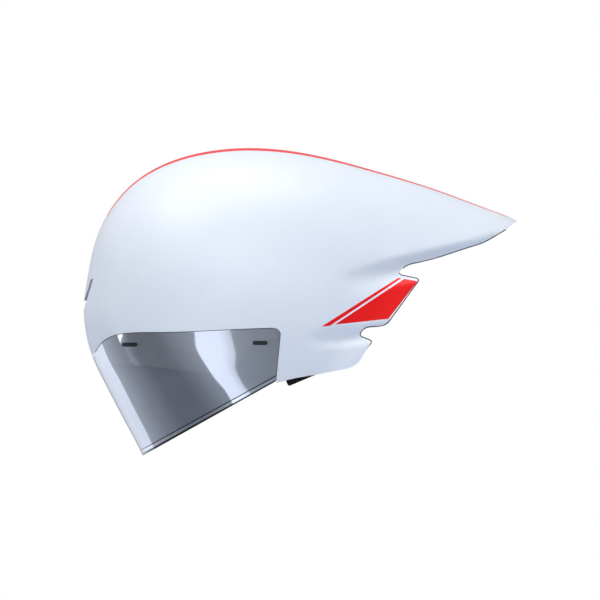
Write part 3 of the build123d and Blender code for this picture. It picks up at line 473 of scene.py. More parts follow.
visor_top = [
    (-0.535, 0.388), (-0.499, 0.426), (-0.468, 0.460), (-0.447, 0.468), (-0.428, 0.465),
    (-0.404, 0.454), (-0.339, 0.410), (-0.263, 0.359), (-0.191, 0.314), (-0.103, 0.257),
]
visor_corner = [(-0.103, 0.257), (-0.092, 0.242), (-0.090, 0.226)]
visor_rear = [(-0.090, 0.226), (-0.142, 0.063)]
visor_runs = [[side_place(share) for share in run] for run in (visor_top, visor_corner, visor_rear)]
rim_shares = [
    [(-0.140, 0.056), (-0.110, 0.049), (-0.043, 0.023), (0.011, 0.004)],
    [(0.011, 0.004), (0.031, 0.0), (0.048, 0.007)],
    [(0.087, 0.054), (0.091, 0.062), (0.088, 0.070)],
    [(0.075, 0.092), (0.074, 0.103), (0.079, 0.112)],
    [(0.079, 0.112), (0.090, 0.119), (0.113, 0.110), (0.136, 0.102), (0.149, 0.110)],
    [(0.237, 0.200), (0.243, 0.210), (0.238, 0.219)],
    [(0.211, 0.251), (0.210, 0.263), (0.216, 0.269)],
    [
        (0.216, 0.269), (0.233, 0.278), (0.257, 0.273), (0.325, 0.257), (0.380, 0.249),
        (0.410, 0.245), (0.446, 0.251), (0.476, 0.259), (0.500, 0.268), (0.541, 0.284),
    ],
]
well_clear = [(0.240, 0.0591), (0.240, 0.240), (-0.230, 0.240), (-0.230, 0.0807)]
shell_line = shifted(visor_runs, 0.0005) + [[side_place(share) for share in run] for run in rim_shares]
shell_line = outline_of(shell_line) + well_clear

intake_top = 0.702 * helmet_height


def bowed(half, drop, count=16):
    """The arc of a smile: down from one corner and up to the other."""
    radius = (half * half + drop * drop) / (2 * drop)
    sweep = math.asin(min(half / radius, 1.0))
    sweep = sweep if drop <= radius else math.pi - sweep
    turns = np.linspace(-sweep, sweep, count)
    return [(radius * math.sin(t), intake_top - drop + radius * (1 - math.cos(t))) for t in turns]


ribs_in_shell, points_in_shell = ((104, 104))
first_rib, last_rib = 4.0, 181.0
cut_half_width = 0.13
crisp_edge = 28.0
painted_shell = moulded_wall(
    "painted_shell", 0, shell_wall, first_rib, last_rib, ribs_in_shell, points_in_shell,
)
trimmed(painted_shell, cutter("shell_outline", shell_line, -cut_half_width, cut_half_width), "INTERSECT")
smile = bowed(0.026, 0.020) + bowed(0.019, 0.014)[::-1]
ahead_of_nose, behind_nose = -0.20, -0.09
trimmed(painted_shell, cutter("intake_slot", smile, ahead_of_nose, behind_nose, along_x=True), "DIFFERENCE")
smooth_with_edges(painted_shell, crisp_edge)


def group(name, inputs, outputs):
    """An empty shader group with named inputs and outputs."""
    made = bpy.data.node_groups.new(name, "ShaderNodeTree")
    for socket, kind, value in inputs:
        face = made.interface.new_socket(socket, in_out="INPUT", socket_type="NodeSocket" + kind)
        if value is not None:
            face.default_value = value
    for socket, kind in outputs:
        made.interface.new_socket(socket, in_out="OUTPUT", socket_type="NodeSocket" + kind)
    return made, made.nodes.new("NodeGroupInput"), made.nodes.new("NodeGroupOutput")


def use_group(tree, made, **sockets):
    """Places a shader group in a material with its own values."""
    node = tree.nodes.new("ShaderNodeGroup")
    node.node_tree = made
    for key, value in sockets.items():
        socket = node.inputs[key.replace("_", " ")]
        if isinstance(value, bpy.types.NodeSocket):
            tree.links.new(value, socket)
        else:
            socket.default_value = value
    return node


def along_side(tree, place, side):
    """How far a place lies along a direction."""
    return put(tree, "VectorMath", {0: place, 1: side}, operation="DOT_PRODUCT").outputs["Value"]


# Masked paint edge: 1 on one side of a straight line in the side view.
paint_edge, edge_in, edge_out = group(
    "straight_paint_edge",
    [("Place", "Vector", None), ("Side", "Vector", (0, 0, 1)), ("Offset", "Float", 0.0)],
    [("Mask", "Float")],
)
edge_distance = along_side(paint_edge, edge_in.outputs[0], edge_in.outputs[1])
edge_step = worked(paint_edge, "GREATER_THAN", edge_distance, edge_in.outputs[2])
paint_edge.links.new(edge_step.outputs[0], edge_out.inputs[0])

# Satin skin: fine orange peel, and dull handling marks in soft patches.
satin_skin, skin_in, skin_out = group(
    "satin_skin", [("Gloss", "Float", 0.3), ("Marks", "Float", 0.1), ("Peel", "Float", 0.00001)],
    [("Roughness", "Float"), ("Height", "Float"), ("Shade", "Float")],
)
skin_place = put(satin_skin, "TexCoord").outputs["Object"]
skin_patches = put(satin_skin, "TexNoise", {
    "Vector": skin_place, "Scale": 22.0, "Detail": 5.0, "Roughness": 0.6,
})
skin_scuffs = put(satin_skin, "TexNoise", {
    "Vector": skin_place, "Scale": 160.0, "Detail": 3.0, "Distortion": 1.5,
})
skin_mix = worked(satin_skin, "MULTIPLY", skin_patches.outputs[0], skin_scuffs.outputs[0])
skin_dull = ranged(satin_skin, skin_mix.outputs[0], (0.15, 0.45), (-0.5, 0.5))
skin_mark = worked(satin_skin, "MULTIPLY", skin_dull.outputs[0], skin_in.outputs["Marks"])
skin_rough = worked(satin_skin, "ADD", skin_in.outputs["Gloss"], skin_mark.outputs[0])
skin_rough.use_clamp = True
peel = put(satin_skin, "TexNoise", {"Vector": skin_place, "Scale": 420.0, "Detail": 2.0})
peel_high = worked(satin_skin, "MULTIPLY", peel.outputs[0], skin_in.outputs["Peel"])
skin_shade = ranged(satin_skin, skin_patches.outputs[0], (0.3, 0.7), (0.97, 1.0))
satin_skin.links.new(skin_rough.outputs[0], skin_out.inputs["Roughness"])
satin_skin.links.new(peel_high.outputs[0], skin_out.inputs["Height"])
satin_skin.links.new(skin_shade.outputs[0], skin_out.inputs["Shade"])

shell_paint, paint, paint_shader = finish(
    "white_and_red_satin_paint", Coat_Weight=0.10, Coat_Roughness=0.25, Specular_IOR_Level=0.30,
)
paint_place = put(paint, "TexCoord").outputs["Object"]
paint_axes = put(paint, "SeparateXYZ", {0: paint_place})
along_helmet, across_helmet, up_helmet = paint_axes.outputs


def multiplied(tree, masks):
    """The area that all the masks share."""
    result = masks[0]
    for mask in masks[1:]:
        result = worked(tree, "MULTIPLY", result, mask).outputs[0]
    return result


def within(tree, value, middle, reach):
    """1 where a value lies within a reach of its middle."""
    return worked(tree, "COMPARE", value, middle, reach).outputs[0]


def between(tree, value, low, high):
    """1 where a value lies between two limits."""
    return within(tree, value, (low + high) / 2, (high - low) / 2)


def masked_panel(tree, place, corners):
    """The area inside a straight-sided panel of the side view, corners in order."""
    middle = np.mean(corners, axis=0)
    masks = []
    for (x0, z0), (x1, z1) in zip(corners, corners[1:] + corners[:1]):
        side = np.array([-(z1 - z0), x1 - x0]) / math.dist((x0, z0), (x1, z1))
        if side @ (middle - np.array([x0, z0])) < 0:
            side = -side
        offset = float(side @ np.array([x0, z0]))
        mask = use_group(tree, paint_edge, Place=place, Side=(side[0], 0, side[1]), Offset=offset)
        masks.append(mask.outputs[0])
    return multiplied(tree, masks)


panel_corners = [(0.0110, 0.0365), (0.0523, 0.0240), (0.0856, 0.0425), (0.0766, 0.0485)]
stripe_corners = [(0.0005, 0.0392), (0.0070, 0.0371), (0.0749, 0.0498), (0.0723, 0.0511)]
fin_panel = masked_panel(paint, paint_place, panel_corners)
fin_stripe = masked_panel(paint, paint_place, stripe_corners)

stripe_front, stripe_rear, stripe_widest = -0.1227, 0.1721, 0.020
stripe_widths = [(0.10, 0.60), (0.25, 0.76), (0.42, 0.80), (0.60, 0.66), (0.78, 0.46), (0.90, 0.36)]
tip_front, tip_narrow, tip_wide = -0.1410, 0.0010, 0.0088
line_half, brow_line_front = 0.0006, -0.1566
tongue_half, tongue_levels, tongue_ends = 0.0035, (0.1326, 0.1458), (-0.174, -0.150)
stripe_share = ranged(paint, along_helmet, (stripe_front, stripe_rear))
stripe_width = put(paint, "FloatCurve", {"Value": stripe_share.outputs[0]})
stripe_curve = stripe_width.mapping.curves[0]
for share, width in stripe_widths:
    stripe_curve.points.new(share, width)
stripe_curve.points[0].location = (0.0, 0.45)
stripe_curve.points[-1].location = (1.0, 0.26)
stripe_width.mapping.update()
stripe_reach = worked(paint, "MULTIPLY", stripe_width.outputs[0], stripe_widest).outputs[0]
crown_stripe = multiplied(paint, [
    within(paint, across_helmet, 0.0, stripe_reach), between(paint, along_helmet, stripe_front, stripe_rear),
])
tip_width = ranged(paint, along_helmet, (tip_front, stripe_front), (tip_narrow, tip_wide)).outputs[0]
off_middle = worked(paint, "ABSOLUTE", across_helmet).outputs[0]
tip_lines = multiplied(paint, [
    within(paint, off_middle, tip_width, line_half), between(paint, along_helmet, tip_front, stripe_front),
])
brow_line = multiplied(paint, [
    within(paint, across_helmet, 0.0, line_half), between(paint, along_helmet, brow_line_front, stripe_front),
])
tongue_mark = multiplied(paint, [
    within(paint, across_helmet, 0.0, tongue_half), between(paint, up_helmet, *tongue_levels),
    between(paint, along_helmet, *tongue_ends),
])
red_area = fin_panel
for area in (fin_stripe, crown_stripe, tip_lines, brow_line, tongue_mark):
    red_area = worked(paint, "MAXIMUM", red_area, area).outputs[0]
paint_skin = use_group(paint, satin_skin, Gloss=0.34, Marks=0.06, Peel=1.0)
paint_colour = either_colour(paint, red_area, (0.86, 0.89, 0.94, 1), (0.98, 0.0, 0.0, 1))
shaded = shaded_by(paint, paint_colour.outputs[2], paint_skin.outputs["Shade"])
paint.links.new(shaded.outputs[2], paint_shader.inputs["Base Color"])
paint.links.new(paint_skin.outputs["Roughness"], paint_shader.inputs["Roughness"])
bumped(paint, paint_shader, paint_skin.outputs["Height"], 0.06)
coat_with(painted_shell, shell_paint)
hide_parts("outer_shell")
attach(painted_shell, "helmet")


# Visor lens
# One wrap-round polycarbonate lens with a silver mirror coating over smoke,
# cut out for its four magnets. Its rim along the lower edge is not modelled but
# painted: a lighter band of painted highlight between two dark lines of painted
# shade where the rim's edge and groove would be.
visor_foot = [side_place(share) for share in ((-0.482, 0.0), (-0.535, -0.010))]
lens_line = outline_of(visor_runs + [visor_foot])
magnet_places = [side_place((-0.412, 0.413)), side_place((-0.140, 0.223))]
magnet_tilt = math.radians(-23.0)


def pill_line(centre, length, height, count=14):
    """The round-ended outline of a magnet, tilted as the lens edge is."""
    straight = length / 2 - height / 2
    line = []
    for end in (1, -1):
        for turn in np.linspace(-math.pi / 2, math.pi / 2, count):
            along = end * (straight + height / 2 * math.cos(turn))
            up = end * height / 2 * math.sin(turn)
            line.append((
                centre[0] + along * math.cos(magnet_tilt) - up * math.sin(magnet_tilt),
                centre[1] + along * math.sin(magnet_tilt) + up * math.cos(magnet_tilt),
            ))
    return line


ribs_in_lens, points_in_lens = ((76, 110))
first_lens_rib, lens_wall = 68.0, 0.0022
hole_length, hole_height = 0.0122, 0.0034
mirrored_lens = moulded_wall(
    "mirrored_lens", 0, lens_wall, first_lens_rib, last_rib, ribs_in_lens, points_in_lens,
)
trimmed(mirrored_lens, cutter("lens_outline", lens_line, -cut_half_width, cut_half_width), "INTERSECT")
for number, magnet_place in enumerate(magnet_places):
    hole_line = pill_line(magnet_place, hole_length, hole_height)
    hole = cutter(f"magnet_hole_{number}", hole_line, -cut_half_width, cut_half_width)
    trimmed(mirrored_lens, hole, "DIFFERENCE")
smooth_with_edges(mirrored_lens, crisp_edge)

lens_finish, lens_tree, lens_shader = finish(
    "silver_mirror_on_smoke", Metallic=0.68, Transmission_Weight=1.0, IOR=1.5,
    Coat_Weight=0.6, Coat_Roughness=0.02,
)
lens_place = put(lens_tree, "TexCoord").outputs["Object"]
rim_front, rim_rear = np.array([-0.171, 0.0008]), np.array([-0.0503, 0.0131])
rim_edge_half, rim_groove, rim_groove_half = 0.0011, 0.0038, 0.0004
painted_rim_highlight_middle, painted_rim_highlight_half = 0.0022, 0.0014
rim_run = (rim_rear - rim_front) / np.linalg.norm(rim_rear - rim_front)
rim_side = np.array([-rim_run[1], rim_run[0]])
rim_start = float(rim_side @ rim_rear)
above_rim = along_side(lens_tree, lens_place, (rim_side[0], 0, rim_side[1]))
# Two dark lines of painted shade along the lower edge stand in for the rim's edge and the groove above it;
# the mesh has neither.
painted_rim_edge_shade = within(lens_tree, above_rim, rim_start, rim_edge_half)
painted_rim_groove_shade = within(lens_tree, above_rim, rim_start + rim_groove, rim_groove_half)
painted_rim_shade_lines = worked(lens_tree, "MAXIMUM", painted_rim_edge_shade, painted_rim_groove_shade).outputs[0]
# A lighter band of painted highlight between the two lines stands in for the lit face of a thickened rim that
# the mesh doesn't have.
painted_rim_highlight = within(lens_tree, above_rim, rim_start + painted_rim_highlight_middle, painted_rim_highlight_half)
coating = put(lens_tree, "TexNoise", {"Vector": lens_place, "Scale": 9.0, "Detail": 2.0})
coating_shade = ranged(lens_tree, coating.outputs[0], (0.3, 0.7), (0.88, 1.06))
coat_and_rim_highlight_colour = either_colour(lens_tree, painted_rim_highlight, (0.70, 0.74, 0.81, 1), (0.84, 0.88, 0.95, 1))
colour_with_rim_shade_lines = either_colour(lens_tree, painted_rim_shade_lines, coat_and_rim_highlight_colour.outputs[2], (0.02, 0.022, 0.03, 1))
lens_colour = shaded_by(lens_tree, colour_with_rim_shade_lines.outputs[2], coating_shade.outputs[0])
lens_tree.links.new(lens_colour.outputs[2], lens_shader.inputs["Base Color"])
wiped = put(lens_tree, "Mapping", {"Vector": lens_place, "Scale": (60, 60, 900), "Rotation": (0, 0.5, 0)})
wipe_marks = put(lens_tree, "TexNoise", {"Vector": wiped.outputs[0], "Scale": 1.0, "Detail": 3.0})
wipe_rough = ranged(lens_tree, wipe_marks.outputs[0], (0.45, 0.8), (0.05, 0.12))
lens_tree.links.new(wipe_rough.outputs[0], lens_shader.inputs["Roughness"])
coat_with(mirrored_lens, lens_finish)
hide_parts("visor_lens")
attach(mirrored_lens, "visor")


# Black mouldings
# Seat frame, tail panel, strap buttons, dividers, temple pins, pinion and
# detent spring: glass-filled nylon from textured moulds, left unpainted.
moulded_grain, grain_in, grain_out = group(
    "moulded_grain",
    [
        ("Colour", "Color", (0.03, 0.03, 0.033, 1)), ("Gloss", "Float", 0.42),
        ("Grain", "Float", 1500.0), ("Scuffs", "Float", 0.25),
    ],
    [("Colour", "Color"), ("Roughness", "Float"), ("Height", "Float")],
)
grain_place = put(moulded_grain, "TexCoord").outputs["Object"]
grain_cells = put(moulded_grain, "TexVoronoi", {"Vector": grain_place, "Scale": grain_in.outputs["Grain"]})
grain_noise = put(moulded_grain, "TexNoise", {"Vector": grain_place, "Scale": 900.0, "Detail": 3.0})
grain_height = worked(moulded_grain, "ADD", grain_cells.outputs["Distance"], grain_noise.outputs[0])
flow = put(moulded_grain, "TexNoise", {
    "Vector": grain_place, "Scale": 35.0, "Detail": 4.0, "Distortion": 0.8,
})
scratch_map = put(moulded_grain, "Mapping", {
    "Vector": grain_place, "Scale": (90, 700, 240), "Rotation": (0.4, 0.2, 0.9),
})
scratches = put(moulded_grain, "TexNoise", {
    "Vector": scratch_map.outputs[0], "Scale": 1.0, "Detail": 2.0, "Roughness": 0.7,
})
scratch_mask = ranged(moulded_grain, scratches.outputs[0], (0.62, 0.75))
scratch_share = worked(moulded_grain, "MULTIPLY", scratch_mask.outputs[0], grain_in.outputs["Scuffs"])
flow_shade = ranged(moulded_grain, flow.outputs[0], (0.3, 0.7), (0.85, 1.12))
grain_colour = shaded_by(moulded_grain, grain_in.outputs["Colour"], flow_shade.outputs[0])
scuffed = either_colour(
    moulded_grain, scratch_share.outputs[0], grain_colour.outputs[2], (0.25, 0.25, 0.26, 1),
)
flow_gloss = ranged(moulded_grain, flow.outputs[0], (0.3, 0.7), (-0.06, 0.06))
grain_gloss = worked(moulded_grain, "ADD", grain_in.outputs["Gloss"], flow_gloss.outputs[0])
moulded_grain.links.new(scuffed.outputs[2], grain_out.inputs["Colour"])
moulded_grain.links.new(grain_gloss.outputs[0], grain_out.inputs["Roughness"])
moulded_grain.links.new(grain_height.outputs[0], grain_out.inputs["Height"])


def moulded(name, colour, gloss, grain, scuffs, strength=0.12, **sockets):
    """A textured moulding's finish, linked from the shared grain group."""
    material, tree, shader = finish(name, **sockets)
    made = use_group(tree, moulded_grain, Colour=(*colour, 1), Gloss=gloss, Grain=grain, Scuffs=scuffs)
    tree.links.new(made.outputs["Colour"], shader.inputs["Base Color"])
    tree.links.new(made.outputs["Roughness"], shader.inputs["Roughness"])
    bumped(tree, shader, made.outputs["Height"], strength)
    return material


black_moulding = moulded("black_glass_filled_nylon", (0.022, 0.022, 0.025), 0.40, 1700.0, 0.18)
black_nodes = ["visor_seat_frame", "tail_underside_cover", "strap_buttons", "pinion", "detent_spring"]
for side in ("left", "right"):
    black_nodes += ["temple_anchor_" + side, "strap_divider_" + side]
for node in black_nodes:
    coat_with(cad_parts[node], black_moulding)


# Intake grille
# A black injection-moulded grille with slots behind the front mouth, matt so
# that the opening reads as a dark hole.
matt_black_grille = moulded("matt_black_grille", (0.012, 0.012, 0.014), 0.68, 1100.0, 0.05)
coat_with(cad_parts["intake_insert"], matt_black_grille)


# Magnets
# Pills of sintered magnet in a black epoxy coat, a little glossy, with edges
# that have rubbed against their partners.
magnet_coat = moulded(
    "black_epoxy_coat", (0.010, 0.010, 0.013), 0.24, 2600.0, 0.35, 0.05, Coat_Weight=0.4, Coat_Roughness=0.15,
)
for node in ("visor_magnets", "seat_magnets"):
    coat_with(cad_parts[node], magnet_coat)


# Foam liner
# Black expanded polystyrene, moulded in one block from small beads: each bead
# shows as a rounded cell, with shiny skin on the beads and dull seams between;
# the seams are also painted darker, a painted shade in the hollows between beads.
bead_foam, foam_tree, foam_shader = finish("black_bead_foam", Specular_IOR_Level=0.35)
foam_place = put(foam_tree, "TexCoord").outputs["Object"]
beads_per_metre = 310.0
bead_cells = put(foam_tree, "TexVoronoi", {"Vector": foam_place, "Scale": beads_per_metre}, feature="F1")
bead_seams = put(foam_tree, "TexVoronoi", {
    "Vector": foam_place, "Scale": beads_per_metre,
}, feature="DISTANCE_TO_EDGE")
bead_round = ranged(foam_tree, bead_seams.outputs["Distance"], (0.0, 0.16))
bead_round.interpolation_type = "SMOOTHSTEP"
bead_tone = put(foam_tree, "SeparateColor", {0: bead_cells.outputs["Color"]})
bead_shade = ranged(foam_tree, bead_tone.outputs[0], (0, 1), (0.018, 0.042))
# The seams take 0.45 of their bead's tone: painted shade in the hollows between the rounded beads.
painted_seam_shade = worked(foam_tree, "MULTIPLY", bead_shade.outputs[0], 0.45)
foam_value = put(foam_tree, "Mix", {
    0: bead_round.outputs[0], 2: painted_seam_shade.outputs[0], 3: bead_shade.outputs[0],
}, data_type="FLOAT")
foam_colour = put(foam_tree, "CombineColor", {channel: foam_value.outputs[0] for channel in range(3)})
foam_tree.links.new(foam_colour.outputs[0], foam_shader.inputs["Base Color"])
foam_gloss = ranged(foam_tree, bead_round.outputs[0], (0, 1), (0.85, 0.48))
foam_tree.links.new(foam_gloss.outputs[0], foam_shader.inputs["Roughness"])
foam_grain = put(foam_tree, "TexNoise", {"Vector": foam_place, "Scale": 1400.0, "Detail": 2.0})
foam_fine = worked(foam_tree, "MULTIPLY", foam_grain.outputs[0], 0.12)
foam_height = worked(foam_tree, "ADD", bead_round.outputs[0], foam_fine.outputs[0])
bumped(foam_tree, foam_shader, foam_height.outputs[0], 0.5, 0.0003)
coat_with(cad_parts["foam_liner"], bead_foam)


# Comfort pads
# Soft foam under a brushed knit, cut out and heat-welded so that the edge is
# pinched flat, with pressed channels across. Hook tape holds each to the foam.
head_centre = np.array([-0.155 * helmet_length, 0.0, 0.337 * helmet_height])
head_axes = np.array([0.2873 * helmet_length, 0.80 * helmet_half_width, 0.5433 * helmet_height])
pad_blank_size = 0.0011
pad_channel_pitch, pad_channel_reach, pad_channel_depth = 0.0135, 0.0011, 0.0012
pad_stretch, pad_draw_in, pad_pinch = 0.0008, 0.0003, 0.0022
side_facing, backing_share = 0.2, 97
stuffing_pressure, stuffing_frames = 4.0, 20


def wall_side(points):
    """The direction from the wearer's head to the wall at points."""
    spread = (points - head_centre) / head_axes**2
    spread[:, 2] = np.maximum(spread[:, 2], 0)
    return spread / np.linalg.norm(spread, axis=1, keepdims=True)


def places_of(mesh):
    """A mesh's points as an array."""
    flat = np.empty(3 * len(mesh.vertices))
    mesh.vertices.foreach_get("co", flat)
    return flat.reshape(-1, 3)


def normals_of(mesh):
    """A mesh's point normals as an array."""
    flat = np.empty(3 * len(mesh.vertices))
    mesh.vertices.foreach_get("normal", flat)
    return flat.reshape(-1, 3)


def set_places(mesh, points):
    """Moves a mesh's points to new places."""
    mesh.vertices.foreach_set("co", points.ravel())
    mesh.update()


def stuffed_pad(node, outward):
    """A welded foam pad, blown up gently from the blank that the frame gives."""
    pad = bpy.data.objects.new(node + "_cushion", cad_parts[node].data.copy())
    bpy.context.scene.collection.objects.link(pad)
    work = bmesh.new()
    work.from_mesh(pad.data)
    bmesh.ops.remove_doubles(work, verts=work.verts, dist=1e-6)
    work.to_mesh(pad.data)
    work.free()
    remesh = pad.modifiers.new("even_mesh", "REMESH")
    remesh.mode = "VOXEL"
    remesh.voxel_size = pad_blank_size
    soften = pad.modifiers.new("soft_edge", "SMOOTH")
    soften.factor = 0.5
    soften.iterations = 2
    settle(pad)
    blank = places_of(pad.data) - normals_of(pad.data) * pad_draw_in
    set_places(pad.data, blank)
    cloth = pad.modifiers.new("stuffing", "CLOTH")
    cloth.settings.use_pressure = True
    cloth.settings.uniform_pressure_force = stuffing_pressure
    cloth.settings.effector_weights.gravity = 0.0
    cloth.settings.mass = 0.02
    cloth.settings.tension_stiffness = 8.0
    cloth.settings.compression_stiffness = 8.0
    cloth.settings.bending_stiffness = 0.4
    cloth.point_cache.frame_start = 1
    cloth.point_cache.frame_end = stuffing_frames
    for step in range(1, stuffing_frames + 1):
        bpy.context.scene.frame_set(step)
    settle(pad)
    bpy.context.scene.frame_set(1)
    points = places_of(pad.data)
    moved = points - blank
    length = np.linalg.norm(moved, axis=1, keepdims=True)
    points = blank + moved * np.minimum(1, pad_stretch / np.maximum(length, 1e-9))
    out = outward(points)
    facing = -(normals_of(pad.data) * out).sum(1)
    depth = ((points - points.mean(0)) * out).sum(1)
    raised = ease((facing - side_facing) / 0.5)
    back = np.percentile(depth, backing_share)
    pinch = ease((back - depth) / pad_pinch)
    across = points - points.mean(0)
    frame_axes = np.linalg.svd(across, full_matrices=False)[2]
    along = across @ frame_axes[0]
    wave = np.abs((along / pad_channel_pitch) % 1 - 0.5) * pad_channel_pitch
    channel = np.exp(-((wave / pad_channel_reach) ** 2))
    points = points + out * (channel * raised * pinch * pad_channel_depth)[:, None]
    set_places(pad.data, points)
    finer = pad.modifiers.new("finer", "SUBSURF")
    finer.levels = finer.render_levels = 1
    settle(pad)
    pad.data.polygons.foreach_set("use_smooth", [True] * len(pad.data.polygons))
    return pad


knit, knit_tree, knit_shader = finish(
    "brushed_knit", Sheen_Weight=0.35, Sheen_Roughness=0.5, Specular_IOR_Level=0.2,
)
knit_place = put(knit_tree, "TexCoord").outputs["Object"]
knit_rows, knit_columns = (
    put(knit_tree, "TexWave", {
        "Vector": knit_place, "Scale": loops_per_metre, "Distortion": 1.2, "Detail": 1.0,
    }, bands_direction=direction)
    for loops_per_metre, direction in ((380.0, "X"), (300.0, "Z"))
)
knit_loops = worked(knit_tree, "MULTIPLY", knit_rows.outputs[1], knit_columns.outputs[1])
fuzz = put(knit_tree, "TexNoise", {"Vector": knit_place, "Scale": 1300.0, "Detail": 3.0, "Roughness": 0.7})
knit_height = worked(knit_tree, "ADD", knit_loops.outputs[0], fuzz.outputs[0])
worn = put(knit_tree, "TexNoise", {"Vector": knit_place, "Scale": 45.0, "Detail": 4.0})
knit_tone = worked(knit_tree, "MULTIPLY", fuzz.outputs[0], worn.outputs[0])
knit_stops = [(0.12, (0.018, 0.018, 0.022, 1)), (0.42, (0.075, 0.077, 0.088, 1))]
knit_colour = ramped(knit_tree, knit_tone.outputs[0], knit_stops)
knit_tree.links.new(knit_colour.outputs[0], knit_shader.inputs["Base Color"])
knit_rough = ranged(knit_tree, worn.outputs[0], (0, 1), (0.82, 0.97))
knit_tree.links.new(knit_rough.outputs[0], knit_shader.inputs["Roughness"])
bumped(knit_tree, knit_shader, knit_height.outputs[0], 0.35, 0.00025)

pad_nodes = ["brow_pad"]
pad_nodes += [kind + "_pad_" + side for kind in ("crown", "side", "ear") for side in ("left", "right")]
for node in pad_nodes:
    cushion = stuffed_pad(node, wall_side)
    coat_with(cushion, knit)
    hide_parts(node)
    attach(cushion, "helmet")


# Nape pad
# The same knit over a thicker foam, stuck to the front of the dial housing
# where it meets the back of the head.
def toward_tail(points):
    """The nape pad's backing faces straight to the rear."""
    return np.tile(np.array([1.0, 0.0, 0.0]), (len(points), 1))


nape_cushion = stuffed_pad("nape_pad", toward_tail)
coat_with(nape_cushion, knit)
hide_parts("nape_pad")
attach(nape_cushion, "drive_housing")


# Fit belt
# Temple arms and racks in stiff nylon keep their moulded shape; the arms
# between them are thin ribbed strips, here built in one fixed curve that doesn't
# bend as the dial draws them in.
belt_nylon = moulded("flexible_belt_nylon", (0.045, 0.045, 0.052), 0.36, 1300.0, 0.22)
for side in ("left", "right"):
    coat_with(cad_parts["temple_arm_" + side], belt_nylon)
    coat_with(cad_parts["rack_" + side], belt_nylon)

belt_middle = 0.221 * helmet_height
belt_inset = 0.008
belt_radius_x, belt_radius_y = head_axes[0] - belt_inset, head_axes[1] - belt_inset
belt_first, belt_last = math.radians(32.54), math.radians(55.76)
belt_height, belt_wall, belt_rib, edge_ease = 0.012, 0.0016, 0.0004, 0.0003


def on_belt(angle, turn):
    """The middle of the belt at an angle off the tail, on one side."""
    x = head_centre[0] + belt_radius_x * math.cos(angle)
    return (x, turn * belt_radius_y * math.sin(angle), belt_middle)


def ribbed_section():
    """Section points (across, deep) of a belt strip, with raised ribs on its outside."""
    line = []
    for share in np.linspace(-1, 1, 25):
        rib = belt_rib * max(0.0, math.cos(share * 3 * math.pi)) if abs(share) < 0.84 else 0.0
        eased = edge_ease if abs(share) == 1 else 0
        line.append((share * belt_height / 2, belt_wall / 2 - belt_rib + rib - eased))
    for share in np.linspace(1, -1, 9):
        eased = edge_ease if abs(share) == 1 else 0
        line.append((share * belt_height / 2, -belt_wall / 2 + eased))
    return line


def ring_faces(count, ring):
    """The faces of a closed skin over rings of points, with a cap at each end."""
    faces = [
        (i * ring + k, i * ring + (k + 1) % ring, (i + 1) * ring + (k + 1) % ring, (i + 1) * ring + k)
        for i in range(count - 1) for k in range(ring)
    ]
    return faces + [tuple(range(ring)), tuple(range(count * ring - 1, (count - 1) * ring - 1, -1))]


def strip(name, rows):
    """A closed strip from section rows, with its length and width as a UV map in metres."""
    rows = np.array(rows)
    count, ring = rows.shape[0], rows.shape[1]
    piece = closed_piece(name, rows.reshape(-1, 3), ring_faces(count, ring))
    middles = rows.mean(axis=1)
    run = np.concatenate([[0], np.cumsum(np.linalg.norm(np.diff(middles, axis=0), axis=1))])
    offset = rows - middles[:, None, :]
    widest = np.linalg.norm(offset, axis=2)
    across = np.empty((count, ring))
    for i in range(count):
        axis = offset[i, int(np.argmax(widest[0]))]
        across[i] = offset[i] @ (axis / np.linalg.norm(axis))
    layer = piece.data.uv_layers.new(name="weave")
    for loop in piece.data.loops:
        i, k = divmod(loop.vertex_index, ring)
        layer.data[loop.index].uv = (float(run[i]), float(across[i, k]))
    return piece


for side, turn in (("left", -1), ("right", 1)):
    rows = []
    for angle in np.linspace(belt_first, belt_last, 34):
        middle = np.array(on_belt(angle, turn))
        outward = np.array([math.cos(angle) / belt_radius_x, turn * math.sin(angle) / belt_radius_y, 0])
        outward /= np.linalg.norm(outward)
        rows.append([middle + outward * deep + np.array([0, 0, up]) for up, deep in ribbed_section()])
    belt_strip = strip("belt_strip_" + side, rows)
    smooth_with_edges(belt_strip, 40.0)
    coat_with(belt_strip, belt_nylon)
    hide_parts("belt_arm_" + side)
    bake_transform(belt_strip)


# Dial housing and lid
# Dark grey box halves from spark-eroded moulds, held together by four screws
# whose heads sit on the lid.
housing_nylon = moulded("grey_spark_eroded_nylon", (0.085, 0.087, 0.095), 0.52, 1900.0, 0.2)
for node in ("dial_housing", "housing_lid"):
    coat_with(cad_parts[node], housing_nylon)


# Housing screws
# Four small pan-head steel screws with a six-lobed socket, turned bright and
# placed in the lid's corners.
def lathed(name, profile, around, lobes=0.0):
    """A turned piece along X from (x, radius) points; a lobed radius is marked by a negative one."""
    rows = []
    for x, radius in profile:
        ring = []
        for k in range(around):
            angle = 2 * math.pi * k / around
            reach = abs(radius) * (1 + (lobes * math.cos(6 * angle) if radius < 0 else 0))
            ring.append((x, reach * math.cos(angle), reach * math.sin(angle)))
        rows.append(ring)
    return closed_piece(name, [p for ring in rows for p in ring], ring_faces(len(rows), around))


screw_low, screw_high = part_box("housing_screws")
screw_head = 0.0017
screw_blank = lathed("screw_blank", [
    (-0.0048, 0.0007), (-0.0044, 0.0009), (-0.0008, 0.0009), (-0.0008, 0.00165), (-0.0006, 0.0017),
    (-0.0003, 0.0016), (-0.0001, 0.0013), (0.0, 0.0010), (0.0, -0.0008), (-0.00005, -0.00076),
    (-0.00045, -0.00072), (-0.00055, 0.0003),
], 24, 0.13)
smooth_with_edges(screw_blank, 40.0)


